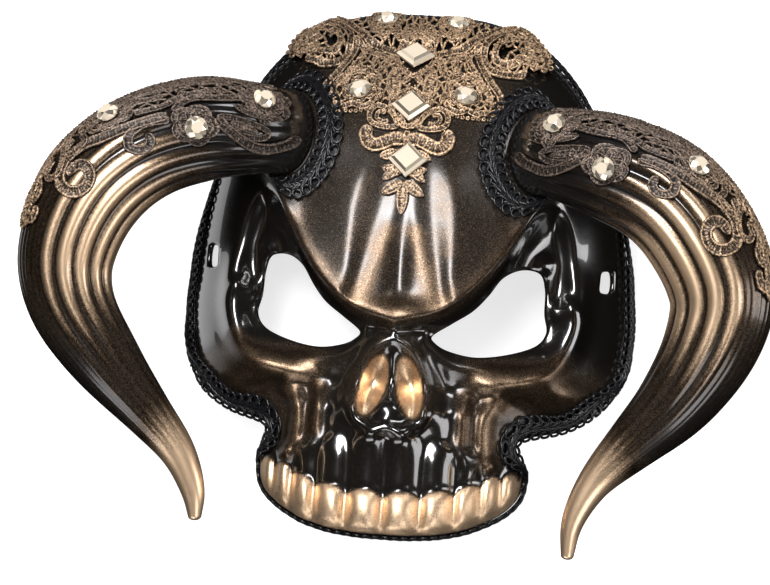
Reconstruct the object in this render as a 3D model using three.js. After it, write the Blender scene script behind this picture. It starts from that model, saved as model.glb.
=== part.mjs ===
// Horned skull masquerade mask: a hollow half mask from the crown to the upper teeth, with two
// fluted horns, braid round the edge and the horn roots, lace with glued stones on the crown and
// horns. It lies face up on its rear rim. Lengths are millimetres, +Z is out of the face and +Y
// is towards the crown. The face frame has its zero at the root of the nose, and the finished
// part is shifted along Y so that its origin is under the middle of its box.
import * as THREE from "three";

// Size of the mask and of its wall
const WALL = 1.8;
const RIM_EDGE = 2.6;
const RIM_FLAT = -6;
const RIM_RAISED = -30;
const TEETH_SKIRT = 15;
const UNDER = { from: -49, to: -57 };
const DOME = {
  height: 72, halfWidth: 89.5, up: 116, down: 112, centreY: 8,
  sidePower: 2.6, upPower: 2.4, downPower: 2.2, fall: 0.75,
};
const JAW = {
  halfWidth: 56.5, depth: 54, front: 79, top: -14, bottom: -34, end: 30, rise: 22, fade: 90, blend: 9,
  lean: 0.045, leanFrom: -25, least: 0.02,
};
const BROW = { height: 9.5, reach: 26, foot: -3.5, top: 2.5, full: 46, gone: 62 };
const SOCKET = { depth: 9, start: -1, slope: 9 };

// Half outline of the plastic shell, from the crown round the temple and cheek to the teeth
const HALF_OUTLINE = [
  [0, 123], [24, 121.5], [45, 112.5], [63, 93.5], [75.5, 66], [84, 36], [88.7, 10], [88.2, -8],
  [83.5, -22], [76, -31], [66, -37], [56, -39.5], [49.5, -41.2], [47.6, -44], [49.6, -48.5],
  [51.3, -54], [50.8, -60], [50, -64.4], [45, -69.9], [36.8, -74.4], [27.8, -77.6], [15, -79.6],
  [0, -80.1],
];
// Eye hole on the +X side, from the nose end over the top
const EYE_OUTLINE = [
  [13.6, -3.3], [21, 2.2], [28.5, 7.5], [34, 13.8], [39.3, 21.3], [46.5, 25], [53.8, 23.7],
  [56.2, 17], [56.6, 8], [57.9, 0.5], [53.8, -5.3], [43, -9.4], [31, -11.2], [21, -9.6],
  [15.4, -6.8],
];
// Edge of the eye socket: under the brow, round its outer corner and back over the cheek
const SOCKET_OUTLINE = [
  [11, -3], [17.5, 4], [24.5, 9.5], [31, 16], [38, 26], [45, 37.5], [51.5, 47], [58, 50],
  [63.5, 43], [66.5, 31], [67.2, 16], [65.5, 2], [60, -9.5], [48, -15], [34, -16.5], [21, -14],
];
const BROW_LINE = [
  [0, -0.5], [11.5, 2.5], [17, 5], [24, 9.5], [28, 13], [35, 20.5], [42, 31], [46, 38], [50, 45],
  [56, 50.5], [64, 52],
];

// Folds of the bone: a path on the +X side, half width, height, and the share faded at each end
const FOLDS = [
  { name: "frown fold", width: 3.2, height: 3.4, fade: 0.2, path: [[1.5, 42], [5.5, 26], [11, 9], [15, 3]] },
  { name: "frown groove", width: 4, height: -3, fade: 0.3, path: [[5, 46], [11, 28], [18, 13]] },
  {
    name: "brow bundle", width: 7, height: 3.6, fade: 0.35,
    path: [[20, 62], [21.5, 42], [23, 24], [24, 15]],
  },
  { name: "brow hollow", width: 6, height: -1.5, fade: 0.4, path: [[36, 60], [34, 42], [33, 30]] },
  { name: "socket bridge", width: 4.2, height: 3.6, fade: 0.2, path: [[68, 14], [62, 10], [57, 9]] },
  {
    name: "socket rim", width: 3.8, height: 4.4, fade: 0.22,
    path: [[67, 32], [69.5, 14], [68.5, 0], [62, -12.5], [49, -19], [36, -21], [27, -21]],
  },
  {
    name: "nose rim", width: 2.4, height: 4.2, fade: 0,
    path: [[0, -4], [6.5, -8], [11.4, -17], [13.4, -27], [12.4, -36], [6.5, -40.5], [0, -39]],
  },
  {
    name: "cheek fold", width: 2.2, height: -2, fade: 0.3,
    path: [[22, -16], [24, -26], [24.5, -38], [24.5, -48]],
  },
  {
    name: "pillar", width: 2.6, height: 2.4, fade: 0.3,
    path: [[27.5, -20], [28.3, -32], [28.5, -44], [29, -54]],
  },
  { name: "pillar groove", width: 1.9, height: -2.4, fade: 0.25, path: [[33, -24], [32.4, -36], [33, -52]] },
  {
    name: "notch crest", width: 2.9, height: 4.2, fade: 0.15,
    path: [[46, -25.5], [38.5, -28.5], [36, -38], [37.4, -49], [42.5, -55.5]],
  },
];
// Lumps and hollows of the bone: centre, half sizes, turn in degrees and height
const LUMPS = [
  { name: "frown hollow", at: [0, 20], size: [3.2, 13], turn: 0, height: -1.8 },
  { name: "glabella", at: [0, 5.5], size: [13, 4.2], turn: 0, height: 3 },
  { name: "nose bridge", at: [0, -9], size: [12, 9], turn: 0, height: 5 },
  { name: "nose body", at: [0, -26], size: [19, 17], turn: 0, height: 6 },
  { name: "nose cavity", at: [7, -24.5], size: [4.2, 12.5], turn: 14, height: -7 },
  { name: "cheekbone", at: [63, -23], size: [17, 8.5], turn: -12, height: 8.5 },
  { name: "cheek hollow", at: [53, -28], size: [9, 4.5], turn: -15, height: -2.5 },
];
// Teeth: gaps on the +X side, gum line at each tooth and the biting edge
const TOOTH_GAPS = [0, 14.3, 27, 36.7, 44, 50.5];
const GUM_LINE = [[7, -63.7], [20, -62.8], [32, -60], [40, -56.3], [47.5, -54.5]];
const BITE_LINE = [[0, -80.1], [15, -79.6], [27.8, -77.6], [36.8, -74.4], [45, -69.9], [50, -64.4]];
const TOOTH = { scallop: 2.8, arch: 2.5, squareness: 3.2, foot: -0.6, gap: 1, height: 3.4, bite: 4.5 };
const TOOTH_ROOT = { height: 2, top: -40, full: -48, lastSide: 48, soft: 4 };

// Columns and rows of the shell's surface. The columns meet the tooth gaps and tooth centres.
const COLUMNS = [
  0, 3.6, 7.2, 10.8, 14.3, 17.5, 20.7, 23.8, 27, 31.9, 36.7, 40.4, 44, 47.3, 51.5, 57.5, 64, 70.5,
  77, 83.5, 88.8,
];
const ROWS = { jawTop: -53.8, jawStep: 3.4, faceTop: 14, faceStep: 4.9, step: 7.2, low: -81, high: 124 };
const SNAP = 0.34;

// Horns: stations of the axis with the radius, the root ellipse on the forehead, and the flutes
const HORN_ROOT = { left: { x: -49, y: 71.5 }, right: { x: 48, y: 70 }, halfWidth: 11, halfHeight: 16.8 };
const LEFT_HORN = [
  [-61, 71.5, 61, 16.9], [-80, 70, 71, 19.2], [-102.3, 61, 78, 19.6], [-119.8, 44, 80, 19.7],
  [-129, 18.5, 80, 18.2], [-125.5, -0.5, 80, 16.2], [-110.8, -20.8, 80, 13.8], [-92.2, -40.8, 80, 9.2],
  [-79.5, -54.8, 80, 6.8], [-72.8, -69.5, 80, 4.6], [-71.6, -78.6, 80, 2.6],
];
const RIGHT_HORN = [
  [59, 69.5, 61.5, 17], [78.5, 65.5, 72, 19.4], [99.5, 56.5, 78, 20.6], [113.8, 41.8, 80, 20.6],
  [124, 20.2, 80, 19.8], [120.8, 0.4, 80, 17.8], [108.8, -21.5, 80, 14.6], [93.5, -39, 80, 10.2],
  [80, -54.8, 80, 6.5], [72.8, -70.8, 80, 4.2], [71.9, -83, 80, 2.5],
];
const HORN_RINGS = 16;
const HORN_TIP = 1.6;
const FLUTES = { depth: 0.6, start: 0.12, end: [0.7, 0.9] };
const PLAIN_SIDES = 6;
const FLUTED_SIDES = 18;
const PLAIN_ARC = 150;
const ROOT_CAP = [0.66, 0.33];
const ROOT_GAP = 0.65;

// Braid round the edge and round the horn roots
const BRAID = {
  width: 12, thickness: 1.6, gap: 1.35, lift: 0.6, reach: 2.4, longest: 20, turn: 0.5, stride: 0.1,
};
const COLLAR = {
  width: 9, narrow: 1.4, soft: 0.45, thickness: 1.6, gap: 0.9, sideGap: 1.8, reach: 3, stations: 20,
};

// Lace: half outline on the crown, and patches on the horns by share of length and angle
const LACE = { gap: 0.6, thickness: 1 };
const HALF_LACE = [
  [0, 43], [3.4, 46], [6, 51], [8.4, 54.6], [12.6, 56], [13.2, 61], [13.4, 66], [18.6, 68.6],
  [20, 73], [16.2, 77.5], [17.5, 82], [25, 83.2], [27.2, 88], [28.6, 94], [33, 99.5], [41, 100],
  [46, 103], [40, 108], [31, 112.6], [18, 115.6], [0, 117],
];
const LACE_GRID = { halfWidth: 46.2, low: 42.5, high: 117.5, step: 7.7 };
const HORN_LACE = { start: 0, end: 0.47, from: -62, to: 62, rows: 12, sides: 5, scallop: 9, gap: 1.1 };

// Stones. Those above the height ON_BRAID lie on the edge braid, the others on lace.
const ROUND_STONE = { radius: 4.5, girdle: 0.9, height: 2.7, table: 2.6, sides: 8 };
const SQUARE_STONE = { radius: 7.6, girdle: 0.9, height: 2.8, table: 4.6, sides: 4 };
const STONE_GAP = 0.5;
const STONE_LEAN = 0.7;
const CROWN_ROUNDS = [[-16.3, 118.2], [11.9, 118], [-22.3, 89.5], [18.7, 89.5]];
const CROWN_SQUARES = [[-2.7, 104.6], [-1.7, 84], [-0.7, 63.1]];
const ON_BRAID = 110;
const LEFT_STONES = [[0.015, 55], [0.129, 92], [0.217, 42]];
const RIGHT_STONES = [[0.015, 58], [0.121, 95], [0.221, 45]];

// Number of points that each stretch of an outline is drawn with, and the reach that slopes are taken over
const CURVE_STEPS = 4;
const SLOPE_STEP = 0.4;

// Tools for numbers and plan curves

function clamp(value, low, high) {
  return Math.min(Math.max(value, low), high);
}

function smoothstep(from, to, value) {
  const t = clamp((value - from) / (to - from), 0, 1);
  return t * t * (3 - 2 * t);
}

function smoothMax(a, b, softness) {
  const h = clamp(0.5 + (0.5 * (a - b)) / softness, 0, 1);
  return b + (a - b) * h + softness * h * (1 - h);
}

function along(points, x) {
  if (x <= points[0][0]) return points[0][1];
  for (let i = 1; i < points.length; i++) {
    const [x0, y0] = points[i - 1];
    const [x1, y1] = points[i];
    if (x <= x1) return y0 + ((y1 - y0) * (x - x0)) / (x1 - x0);
  }
  return points[points.length - 1][1];
}

// A smooth curve through plan points
function smooth(points, closed = false) {
  const vectors = points.map(([x, y]) => new THREE.Vector3(x, y, 0));
  const curve = new THREE.CatmullRomCurve3(vectors, closed, "catmullrom", 0.5);
  const count = (closed ? points.length : points.length - 1) * CURVE_STEPS;
  const drawn = curve.getPoints(count).map((p) => [p.x, p.y]);
  return closed ? drawn.slice(0, -1) : drawn;
}

function nearest(line, x, y, closed) {
  let best = { distance: Infinity, share: 0, point: line[0] };
  const count = closed ? line.length : line.length - 1;
  for (let i = 0; i < count; i++) {
    const [ax, ay] = line[i];
    const [bx, by] = line[(i + 1) % line.length];
    const length2 = (bx - ax) ** 2 + (by - ay) ** 2;
    const t = clamp(((x - ax) * (bx - ax) + (y - ay) * (by - ay)) / length2, 0, 1);
    const point = [ax + t * (bx - ax), ay + t * (by - ay)];
    const distance = Math.hypot(x - point[0], y - point[1]);
    if (distance < best.distance) best = { distance, share: (i + t) / count, point };
  }
  return best;
}

function isInside(line, x, y) {
  let inside = false;
  for (let i = 0, j = line.length - 1; i < line.length; j = i++) {
    const [xi, yi] = line[i];
    const [xj, yj] = line[j];
    if (yi > y !== yj > y && x < xi + ((y - yi) * (xj - xi)) / (yj - yi)) inside = !inside;
  }
  return inside;
}

// Distance to a closed outline, positive inside it
function depthIn(line, x, y) {
  const { distance } = nearest(line, x, y, true);
  return isInside(line, x, y) ? distance : -distance;
}

function mirrored(half) {
  const left = half.slice(1, -1).reverse();
  return [...half, ...left.map(([x, y]) => [-x, y])];
}

const outline = mirrored(smooth(HALF_OUTLINE));
const eye = smooth(EYE_OUTLINE, true);
const socket = smooth(SOCKET_OUTLINE, true);
const folds = FOLDS.map((fold) => ({ ...fold, line: smooth(fold.path) }));

// Height of the skull's outer surface

function foldHeight(fold, x, y) {
  const { distance, share } = nearest(fold.line, x, y, false);
  const ends = fold.fade > 0 ? smoothstep(0, fold.fade, share) * smoothstep(0, fold.fade, 1 - share) : 1;
  return fold.height * ends * Math.exp(-((distance / fold.width) ** 2));
}

function lumpHeight({ at, size, turn, height }, x, y) {
  const angle = THREE.MathUtils.degToRad(turn);
  const dx = x - at[0];
  const dy = y - at[1];
  const u = (dx * Math.cos(angle) + dy * Math.sin(angle)) / size[0];
  const v = (dy * Math.cos(angle) - dx * Math.sin(angle)) / size[1];
  return height * Math.exp(-u * u - v * v);
}

// How far the edge has turned under the jaw, where the wall drops behind the teeth
function underShare(y) {
  return smoothstep(UNDER.from, UNDER.to, y);
}

// The plain form: a dome for the cranium with the curved jaw joined to it
function baseHeight(x, y) {
  const side = Math.abs(x);
  const rise = y - DOME.centreY;
  const vertical = rise > 0 ? (rise / DOME.up) ** DOME.upPower : (-rise / DOME.down) ** DOME.downPower;
  const spread = (side / DOME.halfWidth) ** DOME.sidePower + vertical;
  const dome = DOME.height * Math.max(1 - spread, 0) ** DOME.fall;
  const bow = Math.sqrt(Math.max(1 - (side / JAW.halfWidth) ** 2, JAW.least));
  const jaw = JAW.front - JAW.depth * (1 - bow) + Math.max(JAW.leanFrom - y, 0) * JAW.lean;
  const sunk = JAW.rise * (1 - smoothstep(JAW.top, JAW.bottom, y));
  const gone = JAW.fade * smoothstep(JAW.top, JAW.end, y);
  return smoothMax(dome, jaw - sunk - gone, JAW.blend);
}

function toothHeight(side, y) {
  let crown = 0;
  let root = 0;
  let gum = along(GUM_LINE, side);
  for (let i = 0; i < TOOTH_GAPS.length - 1; i++) {
    const middle = (TOOTH_GAPS[i] + TOOTH_GAPS[i + 1]) / 2;
    const q = (side - middle) / ((TOOTH_GAPS[i + 1] - TOOTH_GAPS[i]) / 2);
    if (Math.abs(q) > 1) continue;
    root = Math.cos((q * Math.PI) / 2) ** 2;
    crown = 1 - Math.abs(q) ** TOOTH.squareness;
    gum -= TOOTH.scallop * Math.abs(q) ** TOOTH.arch;
  }
  const rooted = smoothstep(TOOTH_ROOT.top, TOOTH_ROOT.full, y) * smoothstep(1, -1, gum - y);
  const tooth = smoothstep(TOOTH.foot, 1, gum - y);
  const bite = 1 - smoothstep(0, TOOTH.bite, y - along(BITE_LINE, side));
  const { height, lastSide, soft } = TOOTH_ROOT;
  return (
    height * root * rooted * smoothstep(lastSide, lastSide - soft, side) +
    tooth * (TOOTH.gap + (TOOTH.height - TOOTH.gap) * crown) -
    TOOTH.bite * bite ** 2 * underShare(y)
  );
}

function skullHeight(x, y) {
  const side = Math.abs(x);
  const above = y - along(BROW_LINE, side);
  const inner = 1 - smoothstep(BROW.full, BROW.gone, side);
  const rise = smoothstep(BROW.foot, BROW.top, above) * Math.exp(-Math.max(above, 0) / BROW.reach);
  let z = baseHeight(x, y) + inner * BROW.height * rise;
  z -= SOCKET.depth * smoothstep(SOCKET.start, SOCKET.slope, depthIn(socket, side, y));
  for (const fold of folds) z += foldHeight(fold, side, y);
  for (const lump of LUMPS) z += lumpHeight(lump, side, y);
  return Math.max(z + toothHeight(side, y), 0);
}

function normalOf(height, x, y) {
  const h = SLOPE_STEP;
  const slopeX = (height(x + h, y) - height(x - h, y)) / (2 * h);
  const slopeY = (height(x, y + h) - height(x, y - h)) / (2 * h);
  return new THREE.Vector3(-slopeX, -slopeY, 1).normalize();
}

// A point at a distance off the skull's surface
function offSkull(x, y, distance) {
  const point = new THREE.Vector3(x, y, skullHeight(x, y));
  return point.addScaledVector(normalOf(baseHeight, x, y), distance);
}

// The same, clear of every fold within reach of the point
function overSkull(x, y, distance, reach) {
  const point = offSkull(x, y, distance);
  const own = skullHeight(x, y);
  let rise = 0;
  for (const [dx, dy] of [[1, 0], [-1, 0], [0, 1], [0, -1]]) {
    const [px, py] = [x + dx * reach, y + dy * reach];
    const fall = baseHeight(x, y) - baseHeight(px, py);
    rise = Math.max(rise, skullHeight(px, py) + fall - own);
  }
  return point.setZ(point.z + rise);
}

// Meshes

class MeshBuilder {
  constructor() {
    this.positions = [];
    this.faces = [];
  }

  vertex(point) {
    this.positions.push(point.x, point.y, point.z);
    return this.positions.length / 3 - 1;
  }

  triangle(a, b, c) {
    this.faces.push(a, b, c);
  }

  quad(a, b, c, d) {
    this.triangle(a, b, c);
    this.triangle(a, c, d);
  }

  // Joins two rings of the same length, the second further along their axis
  band(first, second) {
    for (let i = 0; i < first.length; i++) {
      const next = (i + 1) % first.length;
      this.quad(first[i], first[next], second[next], second[i]);
    }
  }

  geometry() {
    const geometry = new THREE.BufferGeometry();
    geometry.setAttribute("position", new THREE.Float32BufferAttribute(this.positions, 3));
    geometry.setIndex(this.faces);
    geometry.computeVertexNormals();
    return geometry;
  }
}

// Plan triangles of the region where depth(x, y) is positive, on a grid of columns and rows.
// Grid points near the region's edge are moved onto it, so that no sliver is left.
function planMesh(columns, rows, depth, edgePoint) {
  const points = [];
  const values = [];
  const index = (i, j) => j * columns.length + i;
  for (let j = 0; j < rows.length; j++) {
    for (let i = 0; i < columns.length; i++) {
      let point = [columns[i], rows[j]];
      let value = depth(...point);
      const stepX = columns[Math.min(i + 1, columns.length - 1)] - columns[Math.max(i - 1, 0)];
      const stepY = rows[Math.min(j + 1, rows.length - 1)] - rows[Math.max(j - 1, 0)];
      if (Math.abs(value) < (SNAP * Math.min(stepX, stepY)) / 2) {
        point = edgePoint(...point);
        value = 0;
      }
      points.push(point);
      values.push(value);
    }
  }
  const crossings = new Map();
  const crossing = (a, b) => {
    const key = a < b ? `${a},${b}` : `${b},${a}`;
    if (!crossings.has(key)) {
      const t = values[a] / (values[a] - values[b]);
      const x = points[a][0] + t * (points[b][0] - points[a][0]);
      const y = points[a][1] + t * (points[b][1] - points[a][1]);
      points.push(edgePoint(x, y));
      crossings.set(key, points.length - 1);
    }
    return crossings.get(key);
  };
  const faces = [];
  for (let j = 0; j < rows.length - 1; j++) {
    for (let i = 0; i < columns.length - 1; i++) {
      const corners = [index(i, j), index(i + 1, j), index(i + 1, j + 1), index(i, j + 1)];
      const polygon = [];
      corners.forEach((corner, k) => {
        const next = corners[(k + 1) % 4];
        if (values[corner] >= 0) polygon.push(corner);
        if (values[corner] * values[next] < 0) polygon.push(crossing(corner, next));
      });
      const filled = corners.some((corner) => values[corner] > 0);
      if (polygon.length < 3 || !filled) continue;
      const flip = polygon.length === 4 && points[polygon[0]][0] + points[polygon[2]][0] < 0;
      const fan = flip ? [...polygon.slice(1), polygon[0]] : polygon;
      for (let k = 1; k < fan.length - 1; k++) faces.push([fan[0], fan[k], fan[k + 1]]);
    }
  }
  return { points, faces };
}

// Edges that only one triangle uses, as pairs with the region on their left
function openEdges(faces) {
  const used = new Set();
  for (const [a, b, c] of faces) {
    used.add(`${a},${b}`);
    used.add(`${b},${c}`);
    used.add(`${c},${a}`);
  }
  const open = [];
  for (const key of used) {
    const [a, b] = key.split(",").map(Number);
    if (!used.has(`${b},${a}`)) open.push([a, b]);
  }
  return open;
}

// A sheet with a top and a bottom over a plan mesh. Its edge may drop further, to skirt(point).
function sheetGeometry({ points, faces }, top, bottom, skirt = () => null) {
  const builder = new MeshBuilder();
  const upper = new Map();
  const lower = new Map();
  const take = (map, i, place) => {
    if (!map.has(i)) map.set(i, builder.vertex(place(...points[i])));
    return map.get(i);
  };
  for (const face of faces) {
    builder.triangle(...face.map((i) => take(upper, i, top)));
    builder.triangle(...face.map((i) => take(lower, i, bottom)).reverse());
  }
  const upperEdge = new Map();
  const lowerEdge = new Map();
  const drop = (map, i, place) => {
    const level = skirt(...points[i]);
    return take(map, i, (x, y) => place(x, y).setZ(level));
  };
  for (const [a, b] of openEdges(faces)) {
    if (skirt(...points[a]) === null || skirt(...points[b]) === null) {
      builder.quad(lower.get(a), lower.get(b), upper.get(b), upper.get(a));
      continue;
    }
    const [outA, outB] = [drop(upperEdge, a, top), drop(upperEdge, b, top)];
    const [inA, inB] = [drop(lowerEdge, a, bottom), drop(lowerEdge, b, bottom)];
    builder.quad(outA, outB, upper.get(b), upper.get(a));
    builder.quad(inA, inB, outB, outA);
    builder.quad(lower.get(a), lower.get(b), inB, inA);
  }
  return builder.geometry();
}

const group = new THREE.Group();

function add(name, geometry, colour, roughness, metalness) {
  const material = new THREE.MeshStandardMaterial({ color: colour, roughness, metalness });
  const mesh = new THREE.Mesh(geometry, material);
  mesh.name = name;
  group.add(mesh);
  return mesh;
}

const GLOSS_BLACK = 0x1a1612;
const BRAID_BLACK = 0x0b0b0c;
const LACE_BRONZE = 0x8a6a48;
const LACE_DARK = 0x3b2f26;
const STONE_GOLD = 0xe8dcae;

// Shell

function spaced(from, to, step) {
  const count = Math.max(Math.round((to - from) / step), 1);
  return Array.from({ length: count }, (_, i) => from + ((to - from) * i) / count);
}

function bottomOfEdge(x, y) {
  const edge = Math.max(skullHeight(x, y) - RIM_EDGE, 0);
  return edge * smoothstep(RIM_FLAT, RIM_RAISED, y) - TEETH_SKIRT * underShare(y);
}

function shellGeometry() {
  const columns = [...COLUMNS.slice(1).reverse().map((x) => -x), ...COLUMNS];
  const rows = [
    ...spaced(ROWS.low, ROWS.jawTop, ROWS.jawStep),
    ...spaced(ROWS.jawTop, ROWS.faceTop, ROWS.faceStep),
    ...spaced(ROWS.faceTop, ROWS.high, ROWS.step),
    ROWS.high,
  ];
  const depth = (x, y) => Math.min(depthIn(outline, x, y), -depthIn(eye, Math.abs(x), y));
  const edgePoint = (x, y) => {
    const rim = nearest(outline, x, y, true);
    const hole = nearest(eye, Math.abs(x), y, true);
    if (rim.distance < hole.distance) return rim.point;
    return [Math.sign(x) * hole.point[0], hole.point[1]];
  };
  const skirt = (x, y) => {
    const onRim = nearest(outline, x, y, true).distance < nearest(eye, Math.abs(x), y, true).distance;
    return onRim ? bottomOfEdge(x, y) : null;
  };
  const plan = planMesh(columns, rows, depth, edgePoint);
  return sheetGeometry(plan, (x, y) => offSkull(x, y, 0), (x, y) => offSkull(x, y, -WALL), skirt);
}

add("mask_shell", shellGeometry(), GLOSS_BLACK, 0.12, 0.3);

// Horns

function hornPath(stations) {
  const axis = new THREE.CatmullRomCurve3(stations.map(([x, y, z]) => new THREE.Vector3(x, y, z)));
  const radii = stations.map((station, i) => [i / (stations.length - 1), station[3]]);
  return { axis, radius: (t) => along(radii, t) };
}

// Axes of the section: out is away from the face along the curve's plane, front is towards +Z
function sectionAxes(axis, t, side) {
  const tangent = axis.getTangent(t);
  const front = new THREE.Vector3(0, 0, 1).addScaledVector(tangent, -tangent.z).normalize();
  const out = new THREE.Vector3().crossVectors(tangent, front).multiplyScalar(-side);
  return { out, front };
}

function sectionAngles() {
  const half = PLAIN_ARC / 2;
  const plain = spaced(-half, half, PLAIN_ARC / PLAIN_SIDES);
  const fluted = spaced(half, 360 - half, (360 - PLAIN_ARC) / FLUTED_SIDES);
  return [...plain.map((a) => [a, 0]), ...fluted.map((a, i) => [a, i % 2 ? -1 : 1])];
}

function hornPoint({ axis, radius }, side, t, degrees, extra) {
  const { out, front } = sectionAxes(axis, t, side);
  const angle = THREE.MathUtils.degToRad(degrees);
  const reach = radius(t) + extra;
  const point = axis.getPoint(t).addScaledVector(out, reach * Math.cos(angle));
  return point.addScaledVector(front, reach * Math.sin(angle));
}

function hornGeometry(stations, root, side) {
  const builder = new MeshBuilder();
  const horn = hornPath(stations);
  const angles = sectionAngles();
  const rootRing = (scale) => angles.map(([degrees]) => {
    const angle = THREE.MathUtils.degToRad(degrees);
    const x = root.x - side * scale * HORN_ROOT.halfWidth * Math.sin(angle);
    const y = root.y + scale * HORN_ROOT.halfHeight * Math.cos(angle);
    return builder.vertex(offSkull(x, y, ROOT_GAP));
  });
  const rings = [rootRing(1)];
  for (let i = 0; i < HORN_RINGS; i++) {
    const t = i / (HORN_RINGS - 1);
    const depth = FLUTES.depth * smoothstep(0, FLUTES.start, t) * (1 - smoothstep(...FLUTES.end, t));
    const place = ([degrees, flute]) => builder.vertex(hornPoint(horn, side, t, degrees, flute * depth));
    rings.push(angles.map(place));
  }
  const tip = horn.axis.getPoint(1).addScaledVector(horn.axis.getTangent(1), HORN_TIP);
  const caps = ROOT_CAP.map(rootRing);
  const chain = [...caps.reverse(), ...rings];
  for (let i = 0; i < chain.length - 1; i++) {
    if (side > 0) builder.band(chain[i], chain[i + 1]);
    else builder.band([...chain[i]].reverse(), [...chain[i + 1]].reverse());
  }
  const close = (ring, centre, reverse) => {
    const middle = builder.vertex(centre);
    ring.forEach((vertex, i) => {
      const next = ring[(i + 1) % ring.length];
      if (reverse) builder.triangle(next, vertex, middle);
      else builder.triangle(vertex, next, middle);
    });
  };
  close(chain[0], offSkull(root.x, root.y, ROOT_GAP), side > 0);
  close(chain[chain.length - 1], tip, side < 0);
  return builder.geometry();
}

const SIDES = [
  { name: "left", sign: -1, stations: LEFT_HORN, stones: LEFT_STONES },
  { name: "right", sign: 1, stations: RIGHT_HORN, stones: RIGHT_STONES },
];

for (const { name, sign, stations } of SIDES) {
  add(`horn_${name}`, hornGeometry(stations, HORN_ROOT[name], sign), GLOSS_BLACK, 0.2, 0.5);
}

// A closed ribbon: each station is a row of inner points and a row of outer points
function ribbonGeometry(stations) {
  const builder = new MeshBuilder();
  const rings = stations.map(({ under, over }) => {
    const section = [...under, ...over.reverse()];
    return section.map((point) => builder.vertex(point));
  });
  rings.forEach((ring, i) => builder.band(ring, rings[(i + 1) % rings.length]));
  return builder.geometry();
}

// Braid on the edge: it starts at the foot of the rim and folds over onto the face
function edgeStation(point, normal) {
  const [x, y] = point;
  const foot = bottomOfEdge(x, y) + BRAID.lift;
  const top = skullHeight(x, y);
  const outward = new THREE.Vector3(normal[0], normal[1], 0);
  const drop = top - foot;
  const onFace = BRAID.width - drop;
  const under = [];
  const over = [];
  const place = (spot, direction) => {
    under.push(spot.clone().addScaledVector(direction, BRAID.gap));
    over.push(spot.clone().addScaledVector(direction, BRAID.gap + BRAID.thickness));
  };
  place(new THREE.Vector3(x, y, foot), outward);
  if (onFace < 1) {
    for (const share of [1 / 3, 2 / 3, 1]) {
      place(new THREE.Vector3(x, y, foot + Math.min(drop - 1, BRAID.width) * share), outward);
    }
    return { under, over };
  }
  const corner = new THREE.Vector3(x, y, top);
  place(corner, outward.clone().add(normalOf(baseHeight, x, y)).normalize());
  let travelled = 0;
  let inset = 0;
  let last = corner;
  for (const target of [onFace / 2, onFace]) {
    while (travelled < target) {
      inset += BRAID.stride;
      const [px, py] = [x - normal[0] * inset, y - normal[1] * inset];
      const next = new THREE.Vector3(px, py, skullHeight(px, py));
      travelled += next.distanceTo(last);
      last = next;
    }
    const raised = overSkull(last.x, last.y, 0, BRAID.reach);
    place(raised, normalOf(baseHeight, last.x, last.y));
  }
  return { under, over };
}

// One station at each named point of the outline, with more in long stretches and where the
// braid turns under the teeth
function edgeBraidGeometry() {
  const stations = [];
  for (let i = outline.length; i > 0; i -= CURVE_STEPS) {
    const [from, to] = [i, i - CURVE_STEPS].map((k) => outline[k % outline.length]);
    const long = Math.hypot(to[0] - from[0], to[1] - from[1]) > BRAID.longest;
    const turning = Math.abs(underShare(from[1]) - underShare(to[1])) > BRAID.turn;
    const step = turning ? 1 : CURVE_STEPS / (long ? 2 : 1);
    for (let k = i; k > i - CURVE_STEPS; k -= step) {
      const before = outline[(k + 1) % outline.length];
      const after = outline[(k - 1 + outline.length) % outline.length];
      const length = Math.hypot(after[0] - before[0], after[1] - before[1]);
      const normal = [(after[1] - before[1]) / length, (before[0] - after[0]) / length];
      stations.push(edgeStation(outline[k % outline.length], normal));
    }
  }
  return ribbonGeometry(stations);
}

add("edge_braid", edgeBraidGeometry(), BRAID_BLACK, 0.7, 0);

// Braid round a horn's root, lying on the forehead and narrow behind the horn
function collarGeometry(root, side) {
  const stations = [];
  for (let i = 0; i < COLLAR.stations; i++) {
    const angle = (side * 2 * Math.PI * i) / COLLAR.stations;
    const direction = [-side * Math.sin(angle), Math.cos(angle)];
    const medial = smoothstep(-COLLAR.soft, COLLAR.soft, Math.sin(angle));
    const width = COLLAR.narrow + (COLLAR.width - COLLAR.narrow) * medial;
    const gap = COLLAR.gap + COLLAR.sideGap * (1 - medial);
    const start = [
      root.x + direction[0] * (HORN_ROOT.halfWidth + gap),
      root.y + direction[1] * (HORN_ROOT.halfHeight + gap),
    ];
    const end = [start[0] + direction[0] * width, start[1] + direction[1] * width];
    const row = (distance) => [end, start].map(([x, y]) => overSkull(x, y, distance, COLLAR.reach * medial));
    stations.push({ under: row(COLLAR.gap), over: row(COLLAR.gap + COLLAR.thickness) });
  }
  return ribbonGeometry(stations);
}

for (const { name, sign } of SIDES) {
  add(`horn_collar_${name}`, collarGeometry(HORN_ROOT[name], sign), BRAID_BLACK, 0.7, 0);
}

// Lace

function crownLaceGeometry() {
  const edge = mirrored(HALF_LACE);
  const { halfWidth, low, high, step } = LACE_GRID;
  const columns = spaced(-halfWidth, halfWidth, step).concat(halfWidth);
  const rows = spaced(low, high, step).concat(high);
  const depth = (x, y) => depthIn(edge, x, y);
  const plan = planMesh(columns, rows, depth, (x, y) => nearest(edge, x, y, true).point);
  const sheet = (distance) => (x, y) => offSkull(x, y, distance);
  return sheetGeometry(plan, sheet(LACE.gap + LACE.thickness), sheet(LACE.gap));
}

add("crown_lace", crownLaceGeometry(), LACE_BRONZE, 0.6, 0.4);

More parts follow.
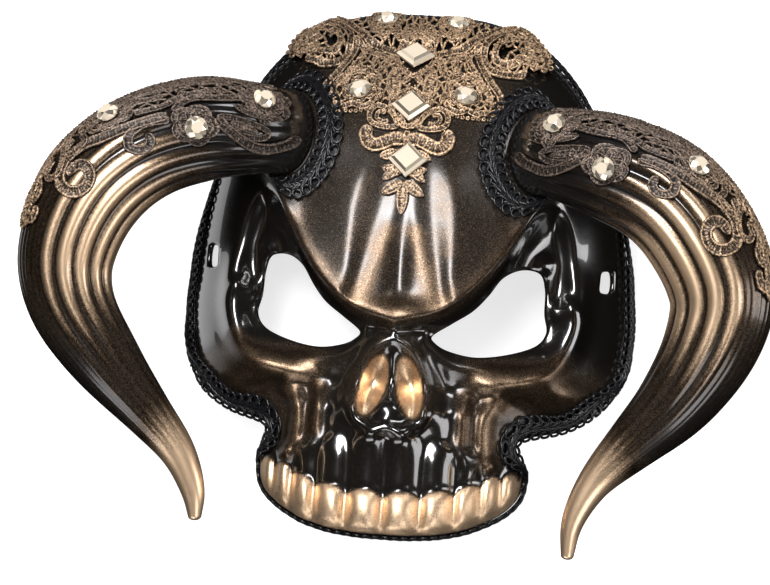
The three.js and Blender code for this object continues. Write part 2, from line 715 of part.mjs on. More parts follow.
function hornLaceGeometry(stations, side) {
  const horn = hornPath(stations);
  const points = [];
  const faces = [];
  for (let j = 0; j <= HORN_LACE.rows; j++) {
    const wave = HORN_LACE.scallop * (j % 2) * (j === HORN_LACE.rows ? 2 : 1);
    for (let i = 0; i <= HORN_LACE.sides; i++) {
      const t = HORN_LACE.start + ((HORN_LACE.end - HORN_LACE.start) * j) / HORN_LACE.rows;
      const [from, to] = [HORN_LACE.from + wave, HORN_LACE.to - wave];
      points.push([t, from + ((to - from) * i) / HORN_LACE.sides]);
    }
  }
  const stride = HORN_LACE.sides + 1;
  for (let j = 0; j < HORN_LACE.rows; j++) {
    for (let i = 0; i < HORN_LACE.sides; i++) {
      const a = j * stride + i;
      const quad = [a, a + 1, a + stride + 1, a + stride];
      if (side < 0) quad.reverse();
      faces.push([quad[0], quad[1], quad[2]], [quad[0], quad[2], quad[3]]);
    }
  }
  const sheet = (extra) => (t, degrees) => hornPoint(horn, side, t, degrees, extra);
  return sheetGeometry({ points, faces }, sheet(HORN_LACE.gap + LACE.thickness), sheet(HORN_LACE.gap));
}

for (const { name, sign, stations } of SIDES) {
  add(`horn_lace_${name}`, hornLaceGeometry(stations, sign), LACE_DARK, 0.6, 0.4);
}

// Stones

function addStone(name, shape, point, normal) {
  const profile = [
    [0, 0], [shape.radius, 0], [shape.radius, shape.girdle], [shape.table, shape.height], [0, shape.height],
  ].map(([r, z]) => new THREE.Vector2(r, z));
  const geometry = new THREE.LatheGeometry(profile, shape.sides);
  const mesh = add(name, geometry, STONE_GOLD, 0.1, 0.9);
  mesh.position.copy(point);
  mesh.quaternion.setFromUnitVectors(new THREE.Vector3(0, 1, 0), normal);
}

function addCrownStones(name, shape, places) {
  places.forEach(([x, y], i) => {
    const normal = normalOf(skullHeight, x, y).lerp(normalOf(baseHeight, x, y), STONE_LEAN).normalize();
    const under = y > ON_BRAID ? BRAID.gap + BRAID.thickness : LACE.gap + LACE.thickness;
    addStone(`${name}_${i + 1}`, shape, offSkull(x, y, under + STONE_GAP), normal);
  });
}

addCrownStones("crown_stone", ROUND_STONE, CROWN_ROUNDS);
addCrownStones("square_stone", SQUARE_STONE, CROWN_SQUARES);

for (const { name, sign, stations, stones } of SIDES) {
  const horn = hornPath(stations);
  const lift = HORN_LACE.gap + LACE.thickness + STONE_GAP;
  stones.forEach(([t, degrees], i) => {
    const point = hornPoint(horn, sign, t, degrees, lift);
    const normal = point.clone().sub(horn.axis.getPoint(t)).normalize();
    addStone(`horn_stone_${name}_${i + 1}`, ROUND_STONE, point, normal);
  });
}

// The origin is under the middle of the part's box
const box = new THREE.Box3().setFromObject(group);
const centre = box.getCenter(new THREE.Vector3());
group.position.set(-centre.x, -centre.y, -box.min.z);

export default group;
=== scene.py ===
"""Looks of the horned skull masquerade mask: gloss shell with gold pearl, fluted horns, scroll braid,
guipure lace and faceted stones, on a pale floor under soft lights."""

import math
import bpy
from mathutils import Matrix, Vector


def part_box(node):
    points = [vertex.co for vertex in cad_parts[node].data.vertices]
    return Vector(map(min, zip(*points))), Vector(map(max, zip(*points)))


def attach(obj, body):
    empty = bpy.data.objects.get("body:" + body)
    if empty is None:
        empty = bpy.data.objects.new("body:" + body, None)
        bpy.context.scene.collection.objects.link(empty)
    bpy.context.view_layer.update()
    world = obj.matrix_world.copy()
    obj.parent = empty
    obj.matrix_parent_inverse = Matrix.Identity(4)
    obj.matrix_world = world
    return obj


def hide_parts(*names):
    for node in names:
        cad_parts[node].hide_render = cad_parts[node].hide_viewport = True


bl_info = {
    "name": "Horned skull masquerade mask",
    "version": (1, 0, 0),
    "blender": (4, 5, 0),
    "location": "3D View > Sidebar > Mask",
    "description": "Dresses the packed mask with its shell, horns, braid, lace and stones",
    "category": "Object",
}

import bpy
import numpy as np
from bpy.props import FloatProperty, FloatVectorProperty, IntProperty, PointerProperty
from mathutils import Matrix, Vector

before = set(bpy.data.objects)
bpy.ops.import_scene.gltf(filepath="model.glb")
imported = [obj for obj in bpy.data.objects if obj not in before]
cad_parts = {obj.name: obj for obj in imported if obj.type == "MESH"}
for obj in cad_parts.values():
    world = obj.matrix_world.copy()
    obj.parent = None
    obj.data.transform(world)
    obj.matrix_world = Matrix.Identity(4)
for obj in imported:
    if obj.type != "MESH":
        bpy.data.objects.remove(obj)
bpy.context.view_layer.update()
MM = 0.001

# The face frame is in millimetres with its zero at the root of the nose. The shell's box says
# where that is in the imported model: the shell is even about the face's middle, and its crown is
# at CROWN_Y.
CROWN_Y = 123.0
SHELL_LOW, SHELL_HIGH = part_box("mask_shell")
FACE_ZERO = np.array([(SHELL_LOW.x + SHELL_HIGH.x) / 2 / MM, SHELL_HIGH.y / MM - CROWN_Y, 0.0])

# Form of the plain skull: the cranium's dome and the jaw, then the brow, the eye sockets and the rim
DOME_HEIGHT, DOME_HALF_WIDTH = 72.0, 89.5
DOME_UP, DOME_DOWN, DOME_CENTRE_Y = 116.0, 112.0, 8.0
DOME_SIDE_POWER, DOME_UP_POWER, DOME_DOWN_POWER, DOME_FALL = 2.6, 2.4, 2.2, 0.75
JAW_HALF_WIDTH, JAW_DEPTH, JAW_FRONT, JAW_BLEND = 56.5, 54.0, 79.0, 9.0
JAW_TOP, JAW_BOTTOM, JAW_END, JAW_RISE, JAW_FADE = -14.0, -34.0, 30.0, 22.0, 90.0
JAW_LEAN, JAW_LEAN_FROM, JAW_LEAST = 0.045, -25.0, 0.02
BROW_HEIGHT, BROW_REACH, BROW_FOOT, BROW_TOP = 9.5, 26.0, -3.5, 2.5
BROW_FULL, BROW_GONE = 46.0, 62.0
SOCKET_DEPTH, SOCKET_START, SOCKET_SLOPE = 9.0, -1.0, 9.0
RIM_EDGE, RIM_FLAT, RIM_RAISED, TEETH_SKIRT = 2.6, -6.0, -30.0, 15.0
UNDER_FROM, UNDER_TO = -49.0, -57.0

# Outlines on the +X side: the shell's edge, the eye hole, the socket round it and the temple slot
HALF_OUTLINE = [
    [0, 123], [24, 121.5], [45, 112.5], [63, 93.5], [75.5, 66], [84, 36], [88.7, 10], [88.2, -8],
    [83.5, -22], [76, -31], [66, -37], [56, -39.5], [49.5, -41.2], [47.6, -44], [49.6, -48.5],
    [51.3, -54], [50.8, -60], [50, -64.4], [45, -69.9], [36.8, -74.4], [27.8, -77.6], [15, -79.6],
    [0, -80.1],
]
EYE_OUTLINE = [
    [13.6, -3.3], [21, 2.2], [28.5, 7.5], [34, 13.8], [39.3, 21.3], [46.5, 25], [53.8, 23.7],
    [56.2, 17], [56.6, 8], [57.9, 0.5], [53.8, -5.3], [43, -9.4], [31, -11.2], [21, -9.6],
    [15.4, -6.8],
]
SOCKET_OUTLINE = [
    [11, -3], [17.5, 4], [24.5, 9.5], [31, 16], [38, 26], [45, 37.5], [51.5, 47], [58, 50],
    [63.5, 43], [66.5, 31], [67.2, 16], [65.5, 2], [60, -9.5], [48, -15], [34, -16.5], [21, -14],
]
SLOT_OUTLINE = [
    [76.4, 17.8], [80.4, 17.4], [81.2, 22], [80.2, 26.6], [76.6, 26.2], [76, 22],
]
# The brow's lower edge, from the nose out to the temple
BROW_LINE = np.array([
    [0, -0.5], [11.5, 2.5], [17, 5], [24, 9.5], [28, 13], [35, 20.5], [42, 31], [46, 38],
    [50, 45], [56, 50.5], [64, 52],
])

# Folds of the bone: half width, height, share faded at each end, and the path
FOLDS = [
    (4.2, 3.6, 0.2, [[68, 14], [62, 10], [57, 9]]),
    (3.8, 4.4, 0.22, [[67, 32], [69.5, 14], [68.5, 0], [62, -12.5], [49, -19], [36, -21], [27, -21]]),
    (2.4, 4.2, 0, [[0, -4], [6.5, -8], [11.4, -17], [13.4, -27], [12.4, -36], [6.5, -40.5], [0, -39]]),
    (2.8, -1.6, 0.3, [[22, -16], [24, -26], [24.5, -38], [24.5, -48]]),
    (3.2, 2.2, 0.3, [[27.5, -20], [28.3, -32], [28.5, -44], [29, -54]]),
    (2.6, -1.8, 0.25, [[33, -24], [32.4, -36], [33, -52]]),
    (3.5, 3.8, 0.15, [[46, -25.5], [38.5, -28.5], [36, -38], [37.4, -49], [42.5, -55.5]]),
]
# Furrows of the forehead by height up the face: each crest or valley has its height off the plain
# form and its distance from the middle
FURROW_UP, FURROWS_BEGIN, FURROWS_END = [8, 20, 30, 44, 56, 66], (3, 15), (52, 72)
FURROWS = [
    (-0.3, [0, 0, 0, 0, 0, 0]), (0.5, [13.5, 11.5, 7, 3.2, 3, 3]), (-0.35, [18, 15.6, 13, 10, 8, 6.5]),
    (1.6, [23, 19.5, 20, 20, 17.5, 14.5]), (-2.4, [36, 36, 38, 40, 40, 40]),
]
# Lumps and hollows of the bone: centre, half sizes, turn in degrees and height
LUMPS = [
    ([0, 20], [3.2, 13], 0, -1.8), ([0, 5.5], [13, 4.2], 0, 3), ([0, -9], [12, 9], 0, 5),
    ([0, -26], [19, 17], 0, 6), ([7, -24.5], [4.2, 12.5], 14, -7), ([63, -23], [17, 8.5], -12, 8.5),
    ([53, -28], [9, 4.5], -15, -2.5),
]
# Small folds that only the finished surface shows: wrinkles at the nose's root, the rolled edge
# of the brow, the ledge under the nose and the knob at the eye hole's outer corner
FINE_FOLDS = [
    (0.9, -1.3, 0.15, [[0, 0.4], [6, -0.6], [11, -3.4]]),
    (0.8, -1.1, 0.15, [[0, -3.6], [5, -4.4], [9.5, -7]]),
    (1.5, 1.2, 0.15, [[13, 4.5], [20, 8.4], [27.5, 14], [34.5, 22], [41, 32], [47, 42.5], [53, 49.5]]),
    (1.2, 1.0, 0.2, [[2, -39.2], [7, -38.6], [11.5, -36.5]]),
    (1.3, -1.3, 0.3, [[16, -12], [19.5, -20], [21, -30], [20.5, -38]]),
]
FINE_LUMPS = [
    ([54.5, 27], [3.2, 3], 0, 2.6), ([29, -13.5], [9, 2.6], -6, 1.4), ([44, 34], [4, 7], -30, -1.6),
    ([18, -46], [3.4, 3], 0, -1.2),
]
# The pit of the nose: an oval with a flat floor, a raised rim and a pad in its middle
NOSE_OVAL = dict(
    at=(7.0, -23.6), size=(5.5, 13.2), turn=14.5, depth=1.4, floor=0.7, rim=0.7, rim_at=1.14,
    rim_width=0.12, pad=3.0,
)

# Teeth and their roots
TOOTH_GAPS = [0, 14.3, 27, 36.7, 44, 50.5]
GUM_LINE = np.array([[7, -63.7], [20, -62.8], [32, -60], [40, -56.3], [47.5, -54.5]])
BITE_LINE = np.array([
    [0, -80.1], [15, -79.6], [27.8, -77.6], [36.8, -74.4], [45, -69.9], [50, -64.4],
])
GUM_SCALLOP, GUM_ARCH = 2.8, 2.5
GUTTER_DEPTH, GUTTER_WIDTH, GUTTER_LEAD = 0.7, 0.9, 4
TOOTH_SQUARENESS, TOOTH_FOOT, TOOTH_HEIGHT, TOOTH_BITE = 2.6, -0.6, 3.4, 2.6
TOOTH_BULGE, TOOTH_LENGTH = 2.2, 15.0
ROOT_HEIGHT, ROOT_ROUND, ROOT_LAST, ROOT_SOFT = 2.6, 2.0, 48.0, 4.0
ROOT_TOP_SOFT, ROOT_FOOT_SOFT = (-1.5, 2.2), (-1, 1)
ROOT_TOPS = np.array([[7, -40.5], [19, -43], [32, -46], [40, -49], [47, -51]])

# Horns: stations of the axis with the radius, and the root on the forehead
HORNS = {
    "left": dict(sign=-1, root=(-49.0, 71.5), stations=[
        [-61, 71.5, 61, 16.9], [-80, 70, 71, 19.2], [-102.3, 61, 78, 19.6], [-119.8, 44, 80, 19.7],
        [-129, 18.5, 80, 18.2], [-125.5, -0.5, 80, 16.2], [-110.8, -20.8, 80, 13.8],
        [-92.2, -40.8, 80, 9.2], [-79.5, -54.8, 80, 6.8], [-72.8, -69.5, 80, 4.6],
        [-71.6, -78.6, 80, 2.6],
    ]),
    "right": dict(sign=1, root=(48.0, 70.0), stations=[
        [59, 69.5, 61.5, 17], [78.5, 65.5, 72, 19.4], [99.5, 56.5, 78, 20.6],
        [113.8, 41.8, 80, 20.6], [124, 20.2, 80, 19.8], [120.8, 0.4, 80, 17.8],
        [108.8, -21.5, 80, 14.6], [93.5, -39, 80, 10.2], [80, -54.8, 80, 6.5],
        [72.8, -70.8, 80, 4.2], [71.9, -83, 80, 2.5],
    ]),
}
ROOT_HALF_WIDTH, ROOT_HALF_HEIGHT, ROOT_GAP, HORN_TIP = 11.0, 16.8, 0.65, 1.6

# Stones: places on the crown, and share of length with angle on the horns
CROWN_ROUNDS = [[-16.3, 118.2], [11.9, 118], [-22.3, 89.5], [18.7, 89.5]]
CROWN_SQUARES = [[-2.7, 104.6], [-1.7, 84], [-0.7, 63.1]]
HORN_STONES = {
    "left": [[0.015, 55], [0.129, 92], [0.217, 42]],
    "right": [[0.015, 58], [0.121, 95], [0.221, 45]],
}
ON_BRAID = 110.0


# Numbers and plan curves


def smoothstep(low, high, value):
    t = np.clip((value - low) / (high - low), 0, 1)
    return t * t * (3 - 2 * t)


def read(curve, place):
    """A curve's second number at a place along its first."""
    return np.interp(place, curve[:, 0], curve[:, 1])


def smooth_max(a, b, softness):
    h = np.clip(0.5 + 0.5 * (a - b) / softness, 0, 1)
    return b + (a - b) * h + softness * h * (1 - h)


def smooth_line(points, steps=4, closed=False):
    """A smooth curve through points, in the plan or in space."""
    points = np.asarray(points, float)
    if closed:
        chain = np.vstack([points[-1:], points, points[:2]])
    else:
        chain = np.vstack([2 * points[0] - points[1], points, 2 * points[-1] - points[-2]])
    t = (np.arange(steps) / steps)[:, None]
    drawn = []
    for i in range(len(points) - (0 if closed else 1)):
        a, b, c, d = chain[i : i + 4]
        cubic = (2 * a - 5 * b + 4 * c - d) * t**2 + (3 * b - a - 3 * c + d) * t**3
        drawn.append(0.5 * (2 * b + (c - a) * t + cubic))
    if not closed:
        drawn.append(points[-1:])
    return np.vstack(drawn)


def unit(vectors):
    return vectors / np.maximum(np.linalg.norm(vectors, axis=-1, keepdims=True), 1e-9)


def directions(line, closed=False):
    """Where a line runs to at each of its points."""
    if closed:
        return unit(np.roll(line, -1, axis=0) - np.roll(line, 1, axis=0))
    return unit(np.gradient(line, axis=0))


def round_angles(count):
    """The angles of a full turn in equal steps."""
    return np.arange(count) * 2 * math.pi / count


def spokes(angle):
    """Steps of length one in the plan, at these angles."""
    return np.stack([np.cos(angle), np.sin(angle)], -1)


def even_line(line, step, closed=False):
    """The same curve with its points a step apart."""
    ends = np.vstack([line, line[:1]]) if closed else line
    lengths = np.linalg.norm(np.diff(ends, axis=0), axis=1)
    travelled = np.concatenate([[0], np.cumsum(lengths)])
    count = max(int(round(travelled[-1] / step)), 2)
    places = np.linspace(0, travelled[-1], count + 1)
    if closed:
        places = places[:-1]
    return np.stack([np.interp(places, travelled, ends[:, k]) for k in range(line.shape[1])], 1)


def nearest(line, x, y, closed=False):
    """Distance and share along a plan line of its point nearest to (x, y), and that point."""
    ends = np.vstack([line, line[:1]]) if closed else line
    count = len(ends) - 1
    best = np.full(np.shape(x), np.inf)
    share, px, py = np.zeros_like(best), np.zeros_like(best), np.zeros_like(best)
    for i in range(count):
        ax, ay = ends[i]
        dx, dy = ends[i + 1] - ends[i]
        t = np.clip(((x - ax) * dx + (y - ay) * dy) / (dx * dx + dy * dy), 0, 1)
        qx, qy = ax + t * dx, ay + t * dy
        distance = np.hypot(x - qx, y - qy)
        closer = distance < best
        best = np.where(closer, distance, best)
        share = np.where(closer, (i + t) / count, share)
        px, py = np.where(closer, qx, px), np.where(closer, qy, py)
    return best, share, px, py


def is_inside(line, x, y):
    inside = np.zeros(np.shape(x), bool)
    for (x0, y0), (x1, y1) in zip(line, np.roll(line, -1, axis=0)):
        if y0 == y1:
            continue
        crosses = (y0 > y) != (y1 > y)
        inside ^= crosses & (x < x0 + (y - y0) * (x1 - x0) / (y1 - y0))
    return inside


def depth_in(line, x, y):
    distance = nearest(line, x, y, True)[0]
    return np.where(is_inside(line, x, y), distance, -distance)


OUTLINE_STEPS = 8
half_outline = smooth_line(HALF_OUTLINE, OUTLINE_STEPS)
outline = np.vstack([half_outline, half_outline[-2:0:-1] * [-1, 1]])
eye = smooth_line(EYE_OUTLINE, OUTLINE_STEPS, True)
slot = smooth_line(SLOT_OUTLINE, OUTLINE_STEPS, True)
socket = smooth_line(SOCKET_OUTLINE, closed=True)


# Height of the skull's outer surface


def stroke(x, y, width, height, fade, path):
    distance, share, _, _ = nearest(smooth_line(path), x, y)
    ends = smoothstep(0, fade, share) * smoothstep(0, fade, 1 - share) if fade else 1.0
    return height * ends * np.exp(-((distance / width) ** 2))


def oval(x, y, at, size, turn):
    """How far out of an oval a point is: below 1 inside it."""
    angle = math.radians(turn)
    dx, dy = x - at[0], y - at[1]
    u = (dx * math.cos(angle) + dy * math.sin(angle)) / size[0]
    v = (dy * math.cos(angle) - dx * math.sin(angle)) / size[1]
    return np.hypot(u, v)


def lump(x, y, at, size, turn, height):
    return height * np.exp(-(oval(x, y, at, size, turn) ** 2))


def under_share(y):
    return smoothstep(-UNDER_FROM, -UNDER_TO, -y)


def above_brow(side, y):
    return y - read(BROW_LINE, side)


def nose_oval(side, y):
    return oval(side, y, NOSE_OVAL["at"], NOSE_OVAL["size"], NOSE_OVAL["turn"])


def base_height(x, y):
    """The plain form: a dome for the cranium with the curved jaw joined to it."""
    side = np.abs(x)
    rise = y - DOME_CENTRE_Y
    up = np.maximum(rise / DOME_UP, 0) ** DOME_UP_POWER
    down = np.maximum(-rise / DOME_DOWN, 0) ** DOME_DOWN_POWER
    spread = (side / DOME_HALF_WIDTH) ** DOME_SIDE_POWER + up + down
    dome = DOME_HEIGHT * np.maximum(1 - spread, 0) ** DOME_FALL
    bow = np.sqrt(np.maximum(1 - (side / JAW_HALF_WIDTH) ** 2, JAW_LEAST))
    jaw = JAW_FRONT - JAW_DEPTH * (1 - bow) + np.maximum(JAW_LEAN_FROM - y, 0) * JAW_LEAN
    sunk = JAW_RISE * (1 - smoothstep(-JAW_TOP, -JAW_BOTTOM, -y))
    jaw -= sunk + JAW_FADE * smoothstep(JAW_TOP, JAW_END, y)
    return smooth_max(dome, jaw, JAW_BLEND)


def tooth_parts(side, y):
    """Share of a tooth, of its rounded crown and of its root, and the gum line at a place."""
    root = np.zeros_like(side)
    crown = np.zeros_like(side)
    gum = read(GUM_LINE, side)
    top = read(ROOT_TOPS, side)
    for left, right in zip(TOOTH_GAPS, TOOTH_GAPS[1:]):
        half = (right - left) / 2
        q = (side - left - half) / half
        here = (np.abs(q) <= 1) & (side <= TOOTH_GAPS[-1])
        root = np.where(here, 1 - np.abs(q) ** ROOT_ROUND, root)
        crown = np.where(here, 1 - np.abs(q) ** TOOTH_SQUARENESS, crown)
        gum = np.where(here, gum - GUM_SCALLOP * np.abs(q) ** GUM_ARCH, gum)
        top = np.where(here, top - half * (1 - np.sqrt(np.clip(1 - q * q, 0, 1))), top)
    rooted = smoothstep(*ROOT_TOP_SOFT, top - y) * smoothstep(*ROOT_FOOT_SOFT, y - gum)
    rooted = rooted * smoothstep(-ROOT_LAST, -ROOT_LAST + ROOT_SOFT, -side)
    return smoothstep(TOOTH_FOOT, 1, gum - y), crown, root * rooted, gum


def tooth_height(side, y):
    tooth, crown, root, gum = tooth_parts(side, y)
    bite = 1 - smoothstep(0, TOOTH_BITE, y - read(BITE_LINE, side))
    gutter = GUTTER_DEPTH * np.exp(-(((y - gum - GUTTER_WIDTH) / GUTTER_WIDTH) ** 2))
    gutter = gutter * under_share(y + GUTTER_LEAD)
    middle = (gum - y) / TOOTH_LENGTH * 2 - 1
    bulge = TOOTH_BULGE * crown * (1 - np.clip(middle, -1, 1) ** 2)
    height = TOOTH_HEIGHT * crown + bulge
    return ROOT_HEIGHT * root + tooth * height - gutter - TOOTH_BITE * bite**2 * under_share(y)


def furrow_height(side, y):
    height = np.full_like(side, FURROWS[0][0])
    for (low, start), (high, end) in zip(FURROWS, FURROWS[1:]):
        start, end = (np.interp(y, FURROW_UP, where) for where in (start, end))
        height += (high - low) * np.clip((side - start) / (end - start), 0, 1)
    return height * smoothstep(*FURROWS_BEGIN, y) * (1 - smoothstep(*FURROWS_END, y))


def rough_height(x, y):
    """The skull without its folds and teeth."""
    side = np.abs(x)
    above = above_brow(side, y)
    inner = 1 - smoothstep(BROW_FULL, BROW_GONE, side)
    rise = smoothstep(BROW_FOOT, BROW_TOP, above) * np.exp(-np.maximum(above, 0) / BROW_REACH)
    hollow = smoothstep(SOCKET_START, SOCKET_SLOPE, depth_in(socket, side, y))
    return base_height(x, y) + inner * BROW_HEIGHT * rise - SOCKET_DEPTH * hollow


def skull_height(x, y):
    side = np.abs(x)
    z = rough_height(x, y) + furrow_height(side, y)
    for width, height, fade, path in FOLDS + FINE_FOLDS:
        z += stroke(side, y, width, height, fade, path)
    for at, size, turn, height in LUMPS + FINE_LUMPS:
        z += lump(side, y, at, size, turn, height)
    q = nose_oval(side, y)
    z -= NOSE_OVAL["depth"] * (1 - smoothstep(NOSE_OVAL["floor"], 1.0, q))
    z += NOSE_OVAL["rim"] * np.exp(-(((q - NOSE_OVAL["rim_at"]) / NOSE_OVAL["rim_width"]) ** 2))
    z += NOSE_OVAL["pad"] * np.maximum(1 - q * q, 0)
    return np.maximum(z + tooth_height(side, y), 0)


def normal_of(height, x, y, reach=0.4):
    slope_x = (height(x + reach, y) - height(x - reach, y)) / (2 * reach)
    slope_y = (height(x, y + reach) - height(x, y - reach)) / (2 * reach)
    normal = np.stack([-slope_x, -slope_y, np.ones_like(slope_x)], -1)
    return normal / np.linalg.norm(normal, axis=-1, keepdims=True)


# Softness of the moulded surface: everywhere, and on the forehead from here to there above the brow
SOFT, SOFT_FOREHEAD, FOREHEAD_BEGINS = 0.9, 1.5, (1, 7)


class HeightMap:
    """The skull's height on a fine grid, evened out as a moulded sheet is."""

    STEP = 0.45
    ACROSS, BELOW, ABOVE = 212, 190, 290
    REACH_OF_SOFT = 18

    def __init__(self):
        self.xs = np.arange(-self.ACROSS, self.ACROSS + 1) * self.STEP
        self.ys = np.arange(-self.BELOW, self.ABOVE) * self.STEP
        grid_x, grid_y = np.meshgrid(self.xs, self.ys)
        right = skull_height(grid_x[:, self.ACROSS :], grid_y[:, self.ACROSS :])
        z = np.hstack([right[:, :0:-1], right])
        forehead = smoothstep(*FOREHEAD_BEGINS, above_brow(np.abs(grid_x), grid_y))
        self.z = self._even(z, SOFT) * (1 - forehead) + self._even(z, SOFT_FOREHEAD) * forehead

    def _even(self, z, softness):
        """The heights averaged with their neighbours over about this many millimetres."""
        reach = self.REACH_OF_SOFT
        weights = np.exp(-0.5 * (np.arange(-reach, reach + 1) * self.STEP / softness) ** 2)
        weights /= weights.sum()
        for axis in (0, 1):
            ends = [(reach, reach) if k == axis else (0, 0) for k in (0, 1)]
            padded = np.pad(z, ends, mode="edge")
            count = z.shape[axis]
            z = sum(w * np.take(padded, np.arange(k, k + count), axis) for k, w in enumerate(weights))
        return z

    def __call__(self, x, y):
        u = np.clip((x - self.xs[0]) / self.STEP, 0, len(self.xs) - 1.001)
        v = np.clip((y - self.ys[0]) / self.STEP, 0, len(self.ys) - 1.001)
        i, j = u.astype(int), v.astype(int)
        fu, fv = u - i, v - j
        low = self.z[j, i] * (1 - fu) + self.z[j, i + 1] * fu
        high = self.z[j + 1, i] * (1 - fu) + self.z[j + 1, i + 1] * fu
        return low * (1 - fv) + high * fv


skull = HeightMap()


def off_skull(x, y, distance):
    """Points at a distance off the skull's surface."""
    foot = np.stack([x, y, skull(x, y)], -1)
    return foot + normal_of(base_height, x, y) * np.asarray(distance)[..., None]


def bottom_of_edge(y, top):
    edge = np.maximum(top - RIM_EDGE, 0)
    return edge * smoothstep(-RIM_FLAT, -RIM_RAISED, -y) - TEETH_SKIRT * under_share(y)


# Meshes


def grid_faces(rows, columns, round_rows=False, round_columns=False):
    """Quads between neighbouring rows and columns of points that are stored row by row."""
    i = np.arange(rows if round_rows else rows - 1)[:, None]
    j = np.arange(columns if round_columns else columns - 1)[None, :]
    ahead, beside = (i + 1) % rows, (j + 1) % columns
    corners = [i * columns + j, i * columns + beside, ahead * columns + beside, ahead * columns + j]
    shape = np.broadcast_shapes(i.shape, j.shape)
    return np.stack([np.broadcast_to(corner, shape) for corner in corners], -1).reshape(-1, 4)


class Form:
    """The points, faces and per-point marks of one piece, in the face frame."""

    def __init__(self):
        self.points, self.faces, self.marks = [], [], []
        self.count = 0

    def add(self, points, faces, **marks):
        points = np.asarray(points, float).reshape(-1, 3)
        self.points.append(points)
        self.faces += [(np.asarray(group) + self.count) for group in faces if len(group)]
        self.marks.append({k: np.broadcast_to(v, len(points)) for k, v in marks.items()})
        self.count += len(points)

    def piece(self, name, material, slot_name, nodes, smooth=True, face_marks=None):
        points = np.vstack(self.points)
        mesh = bpy.data.meshes.new(name)
        faces = [face for group in self.faces for face in group.tolist()]
        mesh.from_pydata(((points + FACE_ZERO) * MM).tolist(), [], faces)
        mesh.polygons.foreach_set("use_smooth", [smooth] * len(mesh.polygons))
        for key in self.marks[0]:
            values = np.concatenate([m[key] for m in self.marks]).astype(np.float32)
            mesh.attributes.new(key, "FLOAT", "POINT").data.foreach_set("value", values)
        for key, values in (face_marks or {}).items():
            found = mesh.attributes.new(key, "FLOAT", "FACE")
            found.data.foreach_set("value", np.asarray(values, np.float32))
        mesh.validate()
        mesh.update()
        made = bpy.data.objects.new(name, mesh)
        bpy.context.scene.collection.objects.link(made)
        mesh.materials.append(material)
        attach(made, "root")
        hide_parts(*nodes)


CORD_SIDES = 5


def tube(form, line, radius, up, closed=False, **marks):
    """A round cord along a line, with up the direction of its first rib."""
    tangent = directions(line, closed)
    across = unit(np.cross(tangent, up))
    lift = np.cross(across, tangent)
    sides = CORD_SIDES
    angle = round_angles(sides)
    radius = np.broadcast_to(radius, len(line))[:, None, None]
    ring = np.cos(angle)[None, :, None] * lift[:, None] + np.sin(angle)[None, :, None] * across[:, None]
    points = line[:, None] + radius * ring
    faces = [grid_faces(len(line), sides, round_rows=closed, round_columns=True)]
    if not closed:
        first = np.arange(sides)[None, :]
        last = (len(line) - 1) * sides + np.arange(sides)[None, ::-1]
        faces += [first, last]
    spread = {k: np.repeat(np.broadcast_to(v, len(line)), sides) for k, v in marks.items()}
    form.add(points, faces, **spread)


# Materials: sums of sockets are written as plain expressions


class Amount:
    """A node's output, which takes part in sums."""

    def __init__(self, paint, socket):
        self.paint, self.socket = paint, socket

    def _sum(self, operation, first, second=0.0):
        return self.paint.node("ShaderNodeMath", {"operation": operation}, {0: first, 1: second})

    def __add__(self, other):
        return self._sum("ADD", self, other)

    def __sub__(self, other):
        return self._sum("SUBTRACT", self, other)

    def __rsub__(self, other):
        return self._sum("SUBTRACT", other, self)

    def __mul__(self, other):
        return self._sum("MULTIPLY", self, other)

    __radd__ = __add__
    __rmul__ = __mul__

    def kept(self):
        """The same amount kept between 0 and 1."""
        return self.paint.node("ShaderNodeClamp", {}, {"Value": self})


